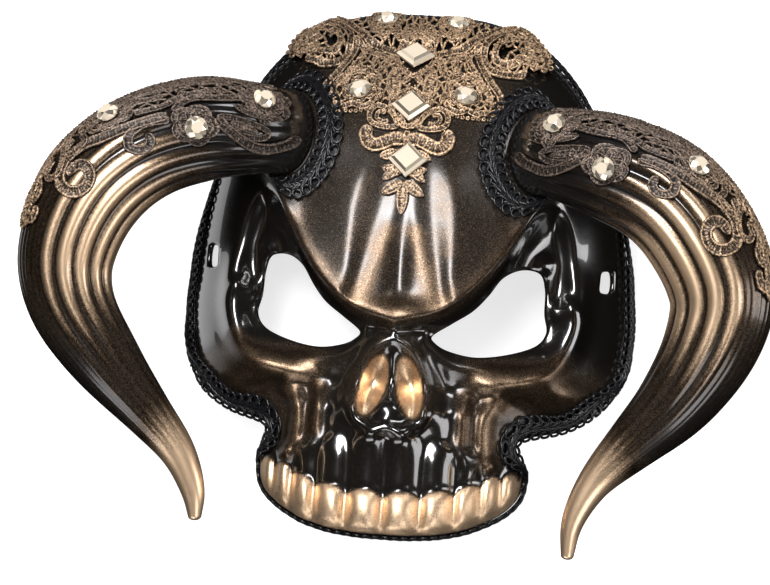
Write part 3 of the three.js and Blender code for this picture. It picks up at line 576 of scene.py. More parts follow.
class Paint:
    """A material under construction."""

    def __init__(self, name):
        self.material = bpy.data.materials.new(name)
        self.material.use_nodes = True
        self.tree = self.material.node_tree
        self.tree.nodes.clear()

    def node(self, kind, settings, inputs, out=0):
        made = self.tree.nodes.new(kind)
        for key, value in settings.items():
            setattr(made, key, value)
        for key, value in inputs.items():
            if isinstance(value, Amount):
                self.tree.links.new(value.socket, made.inputs[key])
            else:
                made.inputs[key].default_value = value
        return Amount(self, made.outputs[out])

    def place(self):
        """Object coordinates in millimetres."""
        found = self.node("ShaderNodeTexCoord", {}, {}, "Object")
        inputs = {0: found, 1: (1 / MM, 1 / MM, 1 / MM)}
        return self.node("ShaderNodeVectorMath", {"operation": "MULTIPLY"}, inputs, "Vector")

    def mark(self, name):
        """A number that the mesh carries at each point or face."""
        return self.node("ShaderNodeAttribute", {"attribute_name": name}, {}, "Fac")

    def noise(self, size, detail, vector=None, roughness=0.5):
        """Soft noise between 0 and 1 whose lumps are about this many millimetres wide."""
        inputs = {"Vector": vector or self.place(), "Scale": 1 / size}
        inputs |= {"Detail": detail, "Roughness": roughness}
        return self.node("ShaderNodeTexNoise", {}, inputs, "Fac")

    def flakes(self, size):
        """A random number for each small cell, this many millimetres wide."""
        inputs = {"Vector": self.place(), "Scale": 1 / size}
        found = self.node("ShaderNodeTexVoronoi", {}, inputs, "Color")
        return self.node("ShaderNodeSeparateColor", {}, {"Color": found}, "Red")

    def fit(self, value, low, high, to_low=0.0, to_high=1.0):
        """A value's range moved to another range, with its ends kept."""
        inputs = {"Value": value, "From Min": low, "From Max": high}
        inputs |= {"To Min": to_low, "To Max": to_high}
        return self.node("ShaderNodeMapRange", {"interpolation_type": "SMOOTHSTEP"}, inputs)

    def blend(self, share, first, second):
        """A mix of two colours."""
        colours = [c if isinstance(c, Amount) else (*c, 1.0) for c in (first, second)]
        inputs = {0: share, 6: colours[0], 7: colours[1]}
        return self.node("ShaderNodeMix", {"data_type": "RGBA"}, inputs, 2)

    def bump(self, height, depth):
        """A bump whose full height is this many millimetres."""
        inputs = {"Height": height, "Distance": depth * MM, "Strength": 1.0}
        return self.node("ShaderNodeBump", {}, inputs, "Normal")

    def finish(self, inputs):
        """The material, with plain colours made full ones."""
        full = {k: (*v, 1.0) if isinstance(v, tuple) else v for k, v in inputs.items()}
        shader = self.node("ShaderNodeBsdfPrincipled", {}, full, "BSDF")
        output = self.tree.nodes.new("ShaderNodeOutputMaterial")
        self.tree.links.new(shader.socket, output.inputs["Surface"])
        return self.material


# Sizes that the panel offers, and the shell


class MaskSizes(bpy.types.PropertyGroup):
    """Sizes and colours of the mask that a user would change."""

    grain: FloatProperty(
        name="Surface grain", description="Spacing of the shell's points", default=0.0009,
        min=0.0006, unit="LENGTH", subtype="DISTANCE",
    )
    wall: FloatProperty(
        name="Wall", description="Thickness of the shell's wall", default=0.0018,
        min=0.0008, unit="LENGTH", subtype="DISTANCE",
    )
    braid_pitch: FloatProperty(
        name="Braid pitch", description="Distance from loop to loop along the braid", default=0.0041,
        min=0.003, unit="LENGTH", subtype="DISTANCE",
    )
    cord: FloatProperty(
        name="Cord radius", description="Radius of the cord that the braid is made of", default=0.00056,
        min=0.0002, unit="LENGTH", subtype="DISTANCE",
    )
    flute_depth: FloatProperty(
        name="Flute depth", description="Depth of the horns' flutes", default=0.0011,
        min=0.0, unit="LENGTH", subtype="DISTANCE",
    )
    horn_rings: IntProperty(
        name="Horn rings", description="Rings of points along each horn", default=230, min=40,
    )
    black: FloatVectorProperty(
        name="Gloss black", description="Colour of the bare plastic", default=(0.004, 0.0035, 0.003),
        subtype="COLOR",
    )
    gold: FloatVectorProperty(
        name="Pearl gold", description="Colour of the full gold paint", default=(0.67, 0.485, 0.315),
        subtype="COLOR",
    )
    bronze: FloatVectorProperty(
        name="Pearl bronze", description="Colour of the thin gold paint", default=(0.115, 0.078, 0.05),
        subtype="COLOR",
    )
    gold_thread: FloatVectorProperty(
        name="Bronze lace", description="Colour of the bronze lace's thread",
        default=(0.6, 0.415, 0.25), subtype="COLOR",
    )
    thread: FloatVectorProperty(
        name="Dark lace", description="Colour of the dark lace's thread", default=(0.13, 0.098, 0.08),
        subtype="COLOR",
    )
    stone: FloatVectorProperty(
        name="Stone gold", description="Colour of the stones' foil", default=(0.92, 0.8, 0.62),
        subtype="COLOR",
    )


# Gold paint on the shell: half width, amount, and the path on the +X side
GOLD_STROKES = [
    (6, 0.16, [[12, 4], [20, 9], [28, 15], [35, 23], [42, 34], [48, 45]]),
    (4, 0.18, [[3, 42], [7.5, 28], [12, 16], [15, 3]]),
    (6, 0.06, [[14, 60], [16, 42], [17, 24]]),
    (4, 0.26, [[66, -3], [60, -13], [48, -18], [36, -20], [27, -20]]),
    (3, 0.12, [[0, -5], [6.5, -9], [11.4, -18], [13.4, -28], [12.4, -36]]),
    (3, 0.25, [[27.5, -22], [28.3, -34], [28.5, -46]]),
    (3, 0.35, [[46, -26], [39, -30], [37, -38], [38, -49], [43, -56]]),
]
GOLD_LUMPS = [
    ([0, 5], [14, 6], 0, 0.25), ([62, -23], [20, 11], -12, 0.32), ([33, -17], [13, 6], -5, 0.1),
    ([18, -20], [4, 12], 10, 0.05),
]
FOREHEAD_GOLD, CHEEK_GOLD, JAW_GOLD, NOSE_GOLD, STROKE_FADE = 0.09, 0.1, 0.02, 0.9, 0.15
# Where each field of gold begins or ends, in millimetres from the brow, the middle or the rim
FOREHEAD_UP, FOREHEAD_OUT, FOREHEAD_IN = (-1, 4), (50, 66), (6, 24)
CHEEK_FROM, CHEEK_OUT, CHEEK_TOP, CHEEK_FOOT = (23, 32), (44, 60), (6, 14), (-52, -42)
NOSE_EDGE, CROWN_EDGE, SOCKET_EDGE, SOCKET_FOOT = (0.8, 1.02), (-0.3, 0.12), (-1.5, 2.5), (-13, -6)
JAW_FROM, SOCKET_BARE = (36, 42), 0.9


def gold_on_shell(x, y, rim_depth):
    """How much gold paint lies on a place of the shell: 0 none, 1 full."""
    side = np.abs(x)
    forehead = smoothstep(*FOREHEAD_UP, above_brow(side, y)) * (1 - smoothstep(*FOREHEAD_OUT, side))
    forehead = forehead * smoothstep(*FOREHEAD_IN, rim_depth)
    cheek = smoothstep(*CHEEK_FROM, side) * (1 - smoothstep(*CHEEK_OUT, side))
    cheek = cheek * smoothstep(*CHEEK_TOP, -y) * smoothstep(*CHEEK_FOOT, y)
    bare = (1 - FOREHEAD_GOLD * forehead) * (1 - CHEEK_GOLD * cheek)
    bare *= 1 - JAW_GOLD * smoothstep(*JAW_FROM, -y)
    for width, amount, path in GOLD_STROKES:
        bare *= 1 - stroke(side, y, width, amount, STROKE_FADE, path)
    for at, size, turn, amount in GOLD_LUMPS:
        bare *= 1 - lump(side, y, at, size, turn, amount)
    bare *= 1 - NOSE_GOLD * (1 - smoothstep(*NOSE_EDGE, nose_oval(side, y)))
    hollow = smoothstep(*SOCKET_EDGE, depth_in(socket, side, y)) * smoothstep(*SOCKET_FOOT, y)
    bare = 1 - (1 - bare) * (1 - SOCKET_BARE * hollow)
    tooth, crown, _, _ = tooth_parts(side, y)
    return np.clip(1 - bare * (1 - tooth * smoothstep(*CROWN_EDGE, crown)), 0, 1)


# Half width and reach down of the shell's plan, and the share of a step within which a point is
# moved onto an edge
PLAN_HALF_WIDTH, PLAN_DOWN, SNAP = 90, 82, 0.52


def shell_plan(step):
    """Plan points and faces of the shell, with points near an edge moved onto it."""
    count = int(math.ceil(PLAN_HALF_WIDTH / step))
    xs = np.arange(-count, count + 1) * step
    ys = np.arange(-math.ceil(PLAN_DOWN / step), (CROWN_Y + 2 * step) // step + 1) * step
    x, y = np.meshgrid(xs, ys)
    side = np.abs(x)
    kinds = []
    for line, sign in ((half_outline, 1), (eye, -1), (slot, -1)):
        closed = sign < 0
        distance, _, px, py = nearest(line, side, y, closed)
        around = line if closed else outline
        kinds.append((np.where(is_inside(around, side, y), sign, -sign) * distance, px, py))
    values = np.stack([k[0] for k in kinds])
    kind = np.argmin(np.abs(values), axis=0)
    value = values.min(axis=0)
    snap = np.abs(value) <= SNAP * step
    px = np.choose(kind, [k[1] for k in kinds])
    py = np.choose(kind, [k[2] for k in kinds])
    sign = np.where(x < 0, -1.0, 1.0)
    x, y = np.where(snap, sign * px, x), np.where(snap, py, y)
    value = np.where(snap, 0.0, value)
    corners = grid_faces(*x.shape)
    flat = value.ravel()
    kept = flat[corners] >= 0
    some = (flat[corners] > 0).any(axis=1)
    quads = corners[kept.all(axis=1) & some]
    three = corners[(kept.sum(axis=1) == 3) & some]
    missing = np.argmin(flat[three] >= 0, axis=1)
    order = (missing[:, None] + np.arange(1, 4)) % 4
    triangles = np.take_along_axis(three, order, axis=1)
    used = np.unique(np.concatenate([quads.ravel(), triangles.ravel()]))
    renumber = np.full(x.size, -1)
    renumber[used] = np.arange(len(used))
    plan = np.stack([x.ravel()[used], y.ravel()[used]], 1)
    return plan, renumber[quads], renumber[triangles], kind.ravel()[used]


def open_edges(quads, triangles, count):
    """Edges of one face only, with the face on their left."""
    pairs = np.vstack([
        np.stack([f, np.roll(f, -1, axis=1)], -1).reshape(-1, 2) for f in (quads, triangles)
    ])
    codes = pairs[:, 0] * count + pairs[:, 1]
    back = pairs[:, 1] * count + pairs[:, 0]
    return pairs[~np.isin(codes, back)]


# Rows between the outer and the inner surface: shares of the way down the skirt, back up inside,
# and round a hole's lip, with how much of the gold each row keeps
SKIRT_SHARES, INSIDE_SHARES, HOLE_SHARES = np.arange(1, 6) / 5, (0, 0.5), (0.2, 0.5, 0.8)
SKIRT_GOLD, HOLE_GOLD, HOLE_BULGE = [1, 1, 1, 0.3, 0.3, 0, 0], [0.3, 0.3, 0.3], 0.55


def between(points, start, end, share):
    """Points of the plan at a share of the way between two heights."""
    return np.column_stack([points[:, :2], start + (end - start) * share])


def shell_form(step, wall):
    plan, quads, triangles, kind = shell_plan(step)
    x, y = plan[:, 0], plan[:, 1]
    top = np.stack([x, y, skull(x, y)], 1)
    inward = normal_of(base_height, x, y)
    bottom = top - wall * inward
    rim_depth = nearest(half_outline, np.abs(x), y)[0]
    gold = gold_on_shell(x, y, rim_depth)
    tooth = tooth_parts(np.abs(x), y)[0]
    form = Form()
    form.add(top, [quads, triangles], gold=gold, tooth=tooth)
    form.add(bottom, [quads[:, ::-1], triangles[:, ::-1]], gold=0.0, tooth=0.0)
    count = len(plan)
    edges = open_edges(quads, triangles, count)
    for rim in (True, False):
        chosen = edges[(kind[edges[:, 0]] == 0) == rim]
        places, where = np.unique(chosen, return_inverse=True)
        a, b = where.reshape(-1, 2).T
        upper, lower = top[places], bottom[places]
        if rim:
            level = bottom_of_edge(upper[:, 1], upper[:, 2])
            rows = [between(upper, upper[:, 2], level, share) for share in SKIRT_SHARES]
            rows += [between(lower, level, lower[:, 2], share) for share in INSIDE_SHARES]
        else:
            run = upper[b] - upper[a]
            away = unit(np.column_stack([run[:, 1], -run[:, 0], np.zeros(len(a))]))
            out = np.zeros_like(upper)
            np.add.at(out, a, away)
            np.add.at(out, b, away)
            out = unit(out) * HOLE_BULGE
            rows = [upper + (lower - upper) * s + out * math.sin(math.pi * s) for s in HOLE_SHARES]
        strip = form.count
        painted = np.tile(gold[places], len(rows))
        painted = painted * np.repeat(SKIRT_GOLD if rim else HOLE_GOLD, len(places))
        form.add(np.vstack(rows), [], gold=painted, tooth=np.tile(tooth[places], len(rows)))
        chain = [places] + [strip + k * len(places) + np.arange(len(places)) for k in range(len(rows))]
        chain.append(count + places)
        for first, second in zip(chain, chain[1:]):
            form.faces.append(np.stack([first[b], first[a], second[a], second[b]], 1))
    return form


SPARK, PEARL_METAL = (0.9, 0.7, 0.42), 0.95


def pearl(sizes):
    """Gloss black plastic with sprayed gold pearl under a clear coat."""
    paint = Paint("shell_gloss")
    gold, tooth = paint.mark("gold"), paint.mark("tooth")
    speckle = paint.flakes(0.26)
    cloud = paint.noise(9, 3)
    amount = (gold * paint.fit(cloud, 0.25, 0.75, 0.8, 1.15)).kept()
    dull = paint.fit(speckle, 0.0, 0.45, 0.34, 0.0)
    bright = (amount + (speckle - 0.5) * (amount * (1 - amount)) * 0.9 - dull * amount).kept()
    thin = paint.blend(paint.fit(bright, 0.0, 0.45), tuple(sizes.black), tuple(sizes.bronze))
    colour = paint.blend(paint.fit(bright, 0.3, 0.95), thin, tuple(sizes.gold))
    spark = paint.fit(speckle, 0.9, 1.0) * amount
    colour = paint.blend(spark * 0.5, colour, SPARK)
    uneven = paint.noise(0.25, 1) * amount
    satin = paint.fit(amount, 0.0, 0.3, 0.2, 0.38)
    return paint.finish({
        "Base Color": colour,
        "Metallic": paint.fit(amount, 0.0, 0.25, 0.0, PEARL_METAL),
        "Roughness": satin + (speckle - 0.5) * 0.08 + tooth * 0.07,
        "Coat Weight": (1 - tooth * 0.85) * paint.fit(gold, 0.02, 0.1, 1.0, 0.05),
        "Coat Roughness": 0.03,
        "Normal": paint.bump(uneven, 0.02),
    })


class SKULLMASK_OT_shell(bpy.types.Operator):
    """Makes the moulded skull shell with its teeth, eye holes and gold pearl"""

    bl_idname = "skullmask.shell"
    bl_label = "Make the shell"

    def execute(self, context):
        sizes = context.scene.mask_sizes
        form = shell_form(sizes.grain / MM, sizes.wall / MM)
        form.piece("skull_shell", pearl(sizes), "gloss_shell", ["mask_shell"])
        return {"FINISHED"}


# Horns


class Horn:
    """One horn's axis and radius, by share of its stations."""

    SAMPLES, EVEN = 600, 32
    # Flutes from one angle to another round the horn, fine lines on the rest, and how they run out
    FLUTE_FIRST, FLUTE_LAST, FLUTE_PITCH, FLUTE_SHARPNESS = 75.0, 285.0, 23.333, 0.75
    FLUTE_SOFT, FLUTE_EDGE = 14, 2
    LINE_PITCH, LINE_DEPTH = 9.0, 0.22
    RUN_IN, RUN_LOW, RUN_OUT, LOW_SHARE = (-0.06, 0.1), (0.46, 0.66), (0.68, 0.82), 0.75
    ROOT_BULGE, ROOT_SPAN, AHEAD = 0.55, 13.0, 0.01

    def __init__(self, name):
        found = HORNS[name]
        self.sign, self.root = found["sign"], found["root"]
        stations = np.array(found["stations"], float)
        self.share = np.linspace(0, 1, self.SAMPLES)
        self.axis = self._through(stations[:, :3])
        radius = np.interp(self.share * (len(stations) - 1), np.arange(len(stations)), stations[:, 3])
        self.radius = self._evened(radius)
        self.axis = np.stack([self._evened(self.axis[:, k]) for k in range(3)], 1)
        tangent = directions(self.axis)
        self.front = unit(np.array([0.0, 0.0, 1.0]) - tangent * tangent[:, 2:])
        self.out = np.cross(tangent, self.front) * -self.sign
        steps = np.linalg.norm(np.diff(self.axis, axis=0), axis=1)
        self.length = np.concatenate([[0], np.cumsum(steps)])

    def _evened(self, values):
        kernel = np.hanning(2 * self.EVEN + 1)
        padded = np.pad(values, self.EVEN, mode="reflect", reflect_type="odd")
        return np.convolve(padded, kernel / kernel.sum(), "valid")

    def _through(self, points):
        """The centripetal curve through the stations."""
        chain = np.vstack([2 * points[0] - points[1], points, 2 * points[-1] - points[-2]])
        where = self.share * (len(points) - 1)
        segment = np.minimum(where.astype(int), len(points) - 2)
        t = (where - segment)[:, None]
        a, b, c, d = (chain[segment + k] for k in range(4))
        spans = (b - a, c - b, d - c)
        ab, bc, cd = (np.linalg.norm(span, axis=1, keepdims=True) ** 0.5 for span in spans)
        start = ((b - a) / ab - (c - a) / (ab + bc) + (c - b) / bc) * bc
        end = ((c - b) / bc - (d - b) / (bc + cd) + (d - c) / cd) * bc
        square, cube = t * t, t * t * t
        return (
            (2 * cube - 3 * square + 1) * b + (cube - 2 * square + t) * start
            + (3 * square - 2 * cube) * c + (cube - square) * end
        )

    def _pick(self, values, t):
        return np.stack([np.interp(t, self.share, values[:, k]) for k in range(3)], -1)

    def reach(self, t):
        return np.interp(t, self.share, self.radius)

    def flute(self, t, degrees):
        """How far the fluted surface stands off the plain radius, from -1 to 1."""
        phase = (degrees - self.FLUTE_FIRST) / self.FLUTE_PITCH
        ridge = 2 * np.abs(np.cos(math.pi * phase)) ** self.FLUTE_SHARPNESS - 1
        soft, edge = self.FLUTE_SOFT, self.FLUTE_EDGE
        turned = smoothstep(self.FLUTE_FIRST - soft, self.FLUTE_FIRST + edge, degrees)
        turned = turned * (1 - smoothstep(self.FLUTE_LAST - edge, self.FLUTE_LAST + soft, degrees))
        line = self.LINE_DEPTH * np.cos(2 * math.pi * degrees / self.LINE_PITCH)
        fade = smoothstep(*self.RUN_IN, t) * (1 - self.LOW_SHARE * smoothstep(*self.RUN_LOW, t))
        fade = fade * (1 - smoothstep(*self.RUN_OUT, t))
        return (ridge * turned + line * (1 - turned)) * fade

    def at(self, t, degrees, off=0.0):
        """The point at a share of the axis and an angle, this far off the plain radius."""
        angle = np.radians(degrees)[..., None]
        reach = (self.reach(t) + off)[..., None]
        spoke = np.cos(angle) * self._pick(self.out, t) + np.sin(angle) * self._pick(self.front, t)
        return self._pick(self.axis, t) + reach * spoke, unit(spoke)

    def on_root(self, degrees, scale=1.0):
        """The horn's foot on the forehead: an oval, or a smaller one inside it."""
        angle = np.radians(degrees)
        x = self.root[0] - self.sign * scale * ROOT_HALF_WIDTH * np.sin(angle)
        y = self.root[1] + scale * ROOT_HALF_HEIGHT * np.cos(angle)
        return off_skull(x, y, ROOT_GAP + 0 * x)

    def fillet(self, degrees, share, off=0.0, first=None):
        """The surface between the root (share 0) and the start of the axis (share 1)."""
        nothing = np.zeros(len(degrees))
        foot = self.on_root(degrees)
        if first is None:
            first = self.at(nothing, degrees)[0]
        ahead = self.at(nothing + self.AHEAD, degrees)[0] - self.at(nothing, degrees)[0]
        leave = unit(normal_of(base_height, foot[:, 0], foot[:, 1]))
        span = np.linalg.norm(first - foot, axis=1, keepdims=True)
        u = np.broadcast_to(share, len(degrees))[:, None]
        bulge = (1 + 2 * u) * (1 - u) ** 2 * foot + u * (1 - u) ** 2 * leave * span * self.ROOT_BULGE
        bulge += u * u * (3 - 2 * u) * first + u * u * (u - 1) * unit(ahead) * span
        spoke = unit(first - self.axis[0])
        return bulge + spoke * np.broadcast_to(off, len(degrees))[:, None]


ROOT_RINGS, HORN_SIDES = 14, 126
# Rounding of the tip and closing of the root, as shares of the tip's height and the root's size
TIP_SHARES, ROOT_SHARES = (0.35, 0.7, 0.92), (0.12, 0.6)
# Where gold begins and ends round a horn, in degrees, and where it covers the whole tip; then how
# closely it keeps to the ridges, and how much of it lies on the plain side
GOLD_BEGINS, GOLD_ENDS, GOLD_TIP = (40, 110), (225, 285), (0.66, 0.88)
GOLD_SHARPNESS, GOLD_BEHIND = 1.15, 0.4
# Gold on a horn by share of its length: none at the root, much on the bend, full at the tip
HORN_GOLD = np.array([
    [0, 0.02], [0.1, 0.1], [0.18, 0.36], [0.28, 0.9], [0.42, 1], [0.5, 0.66], [0.58, 0.36],
    [0.68, 0.36], [0.76, 0.85], [0.82, 1], [1, 1],
])


def horn_form(horn, rings, depth):
    """The root on the forehead, the fluted body and the rounded tip as one closed form."""
    angles = np.arange(HORN_SIDES) * 360 / HORN_SIDES
    t = np.linspace(0, 1, rings)
    grid_t, grid_a = np.meshgrid(t, angles, indexing="ij")
    flute = horn.flute(grid_t, grid_a)
    body, _ = horn.at(grid_t, grid_a, depth * flute)
    rows = [horn.fillet(angles, k / ROOT_RINGS, 0.0, body[0]) for k in range(ROOT_RINGS)]
    tip = horn.axis[-1] + unit(horn.axis[-1] - horn.axis[-2]) * HORN_TIP
    cap = []
    for share in TIP_SHARES:
        shrink = math.sqrt(1 - share**2)
        cap.append(body[-1] + (horn.axis[-1] - body[-1]) * (1 - shrink) + (tip - horn.axis[-1]) * share)
    caps = [horn.on_root(angles, scale) for scale in ROOT_SHARES]
    points = np.concatenate([np.stack(caps + rows), body, np.stack(cap)])
    lead = len(caps) + ROOT_RINGS
    share = np.concatenate([np.zeros(lead), t, np.ones(len(cap))])
    ridge = np.concatenate([np.tile(flute[0], (lead, 1)), flute, np.tile(flute[-1], (len(cap), 1))])
    plain = read(HORN_GOLD, share)[:, None]
    turned = smoothstep(*GOLD_BEGINS, angles) * (1 - smoothstep(*GOLD_ENDS, angles))
    gold = plain * (0.5 + 0.5 * ridge) ** GOLD_SHARPNESS * (GOLD_BEHIND + (1 - GOLD_BEHIND) * turned)
    gold += (plain - gold) * smoothstep(*GOLD_TIP, share)[:, None]
    around = np.tile(angles, (len(points), 1))
    faces = grid_faces(len(points), HORN_SIDES, round_columns=True)
    if horn.sign < 0:
        faces = faces[:, ::-1]
    form = Form()
    along = np.repeat(share[:, None], HORN_SIDES, axis=1)
    form.add(points, [faces], gold=gold.ravel(), along=along.ravel(), around=around.ravel())
    ends = form.count
    form.add([horn.on_root(np.array([0.0]), 0)[0], tip], [], gold=[0, 1], along=[0, 1], around=0.0)
    ring = np.arange(HORN_SIDES)
    last = (len(points) - 1) * HORN_SIDES
    root_fan = np.stack([np.roll(ring, -1), ring, np.full(HORN_SIDES, ends)], 1)
    tip_fan = np.stack([last + ring, last + np.roll(ring, -1), np.full(HORN_SIDES, ends + 1)], 1)
    if horn.sign < 0:
        root_fan, tip_fan = root_fan[:, ::-1], tip_fan[:, ::-1]
    form.faces += [root_fan, tip_fan]
    return form


def horn_gloss(sizes):
    """Black gloss that turns to satin gold on the ridges and the tip, with fine lengthwise streaks."""
    paint = Paint("horn_gloss")
    gold = paint.mark("gold")
    inputs = {"X": paint.mark("along") * 9.0, "Y": paint.mark("around") * 0.55, "Z": 0.0}
    flow = paint.node("ShaderNodeCombineXYZ", {}, inputs)
    streak = paint.noise(1.0, 4, flow, 0.65)
    speckle = paint.flakes(0.32)
    amount = (gold + (streak - 0.5) * 0.3 * (gold * (1 - gold) * 4)).kept()
    bright = (amount + (speckle - 0.5) * amount * (1 - amount)).kept()
    thin = paint.blend(paint.fit(bright, 0.04, 0.45), tuple(sizes.black), tuple(sizes.bronze))
    colour = paint.blend(paint.fit(bright, 0.25, 0.8), thin, tuple(sizes.gold))
    return paint.finish({
        "Base Color": colour,
        "Metallic": paint.fit(amount, 0.0, 0.25, 0.0, PEARL_METAL),
        "Roughness": paint.fit(amount, 0.0, 0.5, 0.22, 0.38) + (speckle - 0.5) * 0.06,
        "Coat Weight": 0.35,
        "Coat Roughness": 0.08,
        "Normal": paint.bump(streak, 0.012),
    })


class SKULLMASK_OT_horns(bpy.types.Operator):
    """Makes both fluted horns"""

    bl_idname = "skullmask.horns"
    bl_label = "Make the horns"

    def execute(self, context):
        sizes = context.scene.mask_sizes
        material = horn_gloss(sizes)
        for name in HORNS:
            form = horn_form(Horn(name), sizes.horn_rings, sizes.flute_depth / MM)
            form.piece(f"fluted_horn_{name}", material, "gloss_horn", [f"horn_{name}"])
        return {"FINISHED"}


# Braid


BRAID_WIDTH, BRAID_GAP, BRAID_LIFT, BRAID_ROWS = 12.0, 0.75, 0.6, 25
# Share of the side's height that stays bare under the braid, the points up the side, the reach and
# step over the face, and how often each direction is evened out
BRAID_START, SIDE_POINTS, FACE_INSETS = 0.25, 23, np.arange(0, 14.01, 0.25)
EVEN_OUTWARD, EVEN_ALONG, EVEN_ACROSS = 6, 8, 3


class Band:
    """A ribbon's middle surface: points by distance along it and across it, closed on itself."""

    def __init__(self, points, width):
        self.points, self.width = points, width
        along = np.roll(points, -1, axis=0) - np.roll(points, 1, axis=0)
        across = np.gradient(points, axis=1)
        self.normals = unit(np.cross(along, across))
        middle = points[:, points.shape[1] // 2]
        self.length = np.linalg.norm(np.roll(middle, -1, axis=0) - middle, axis=1).sum()

    def _pick(self, grid, u, v):
        rows, columns = grid.shape[:2]
        u = (u / self.length * rows) % rows
        v = np.clip(v / self.width, 0, 1) * (columns - 1)
        i, j = u.astype(int) % rows, np.minimum(v.astype(int), columns - 2)
        fu, fv = (u - np.floor(u))[:, None], (v - j)[:, None]
        ahead = (i + 1) % rows
        low = grid[i, j] * (1 - fv) + grid[i, j + 1] * fv
        high = grid[ahead, j] * (1 - fv) + grid[ahead, j + 1] * fv
        return low * (1 - fu) + high * fu

    def at(self, u, v, off):
        normal = unit(self._pick(self.normals, u, v))
        return self._pick(self.points, u, v) + normal * off[:, None], normal


def softened(points, passes):
    """Points evened out along a closed ribbon."""
    for _ in range(passes):
        points = (np.roll(points, 1, axis=0) + 2 * points + np.roll(points, -1, axis=0)) / 4
    return points


def edge_band():
    """The ribbon along the shell's edge: up its side and over onto the face."""
    line = even_line(outline, 1.0, True)
    tangent = directions(line, True)
    for _ in range(EVEN_OUTWARD):
        tangent = unit(softened(tangent, 1))
    out = np.stack([-tangent[:, 1], tangent[:, 0]], 1)
    x, y = line[:, 0], line[:, 1]
    top = skull(x, y)
    foot = bottom_of_edge(y, top) + BRAID_LIFT
    px, py = x[:, None] - out[:, :1] * FACE_INSETS, y[:, None] - out[:, 1:] * FACE_INSETS
    face = np.stack([px, py, skull(px, py)], -1)
    side_z = foot[:, None] + (top - foot)[:, None] * np.linspace(0, 1, SIDE_POINTS + 1)[:-1]
    side_x, side_y = (np.repeat(place[:, None], SIDE_POINTS, 1) for place in (x, y))
    side = np.stack([side_x, side_y, side_z], -1)
    profile = np.concatenate([side, face], axis=1)
    steps = np.linalg.norm(np.diff(profile, axis=1), axis=2)
    travelled = np.concatenate([np.zeros((len(line), 1)), np.cumsum(steps, axis=1)], 1)
    places = np.linspace(0, BRAID_WIDTH, BRAID_ROWS)
    start = BRAID_START * (top - foot)
    rows = [
        np.stack([np.interp(places + start[i], travelled[i], profile[i, :, k]) for k in range(3)], -1)
        for i in range(len(line))
    ]
    grid = softened(np.stack(rows), EVEN_ALONG)
    for _ in range(EVEN_ACROSS):
        inner = (grid[:, :-2] + 2 * grid[:, 1:-1] + grid[:, 2:]) / 4
        grid = np.concatenate([grid[:, :1], inner, grid[:, -1:]], 1)
    return Band(grid[::-1], BRAID_WIDTH)


COLLAR_WIDTH, COLLAR_NARROW, COLLAR_GAP, COLLAR_SOFT = 10.5, 1.6, 0.9, 0.45
COLLAR_TURN, COLLAR_LIFT, COLLAR_EVEN = 3.0, 0.2, 3


def collar_band(horn):
    """The ribbon round a horn's root, narrow behind the horn."""
    angle = np.radians(np.arange(0, 360, COLLAR_TURN))
    direction = np.stack([-horn.sign * np.sin(angle), np.cos(angle)], 1)
    medial = smoothstep(-COLLAR_SOFT, COLLAR_SOFT, np.sin(angle))
    width = COLLAR_NARROW + (COLLAR_WIDTH - COLLAR_NARROW) * medial
    half = np.array([ROOT_HALF_WIDTH, ROOT_HALF_HEIGHT]) + COLLAR_GAP
    start = np.array(horn.root) + direction * half
    shares = np.linspace(0, 1, BRAID_ROWS)[None, :, None]
    plan = start[:, None] + direction[:, None] * width[:, None, None] * shares
    grid = off_skull(plan[..., 0], plan[..., 1], np.full(plan.shape[:2], COLLAR_LIFT))
    grid = softened(grid, COLLAR_EVEN)
    return Band(grid if horn.sign < 0 else grid[::-1], COLLAR_WIDTH)


# One curl of the scroll braid, from the spine out: along in pitches, across in half widths and
# height in millimetres
CURL = [
    [0, 0.04, 0.9], [0.4, 0.12, 1.35], [0.86, 0.22, 1.15], [1.26, 0.36, 0.75], [1.42, 0.68, 0.5],
    [1.14, 1.0, 0.5], [0.74, 0.97, 0.5], [0.56, 0.68, 0.6], [0.74, 0.42, 0.85], [1.0, 0.38, 1.15],
]
FEATHER = [[0.1, 0.03, 0.9], [0.45, 0.16, 1.3], [0.9, 0.32, 1.15], [1.1, 0.44, 0.7]]
FEATHER_SHIFT, SIDE_SHIFT = 0.5, 0.25
CORD_STEP, FEATHER_THIN, SPINE_THICK, SPINE_HEIGHT = 0.5, 0.78, 1.5, 0.6
# The woven tape under the cords: shares of the width, its top and underside, and its step
TAPE_ACROSS, TAPE_LEVELS, TAPE_STEP = np.linspace(0.06, 0.94, 9), np.array([0.45, 0.15]), 1.0


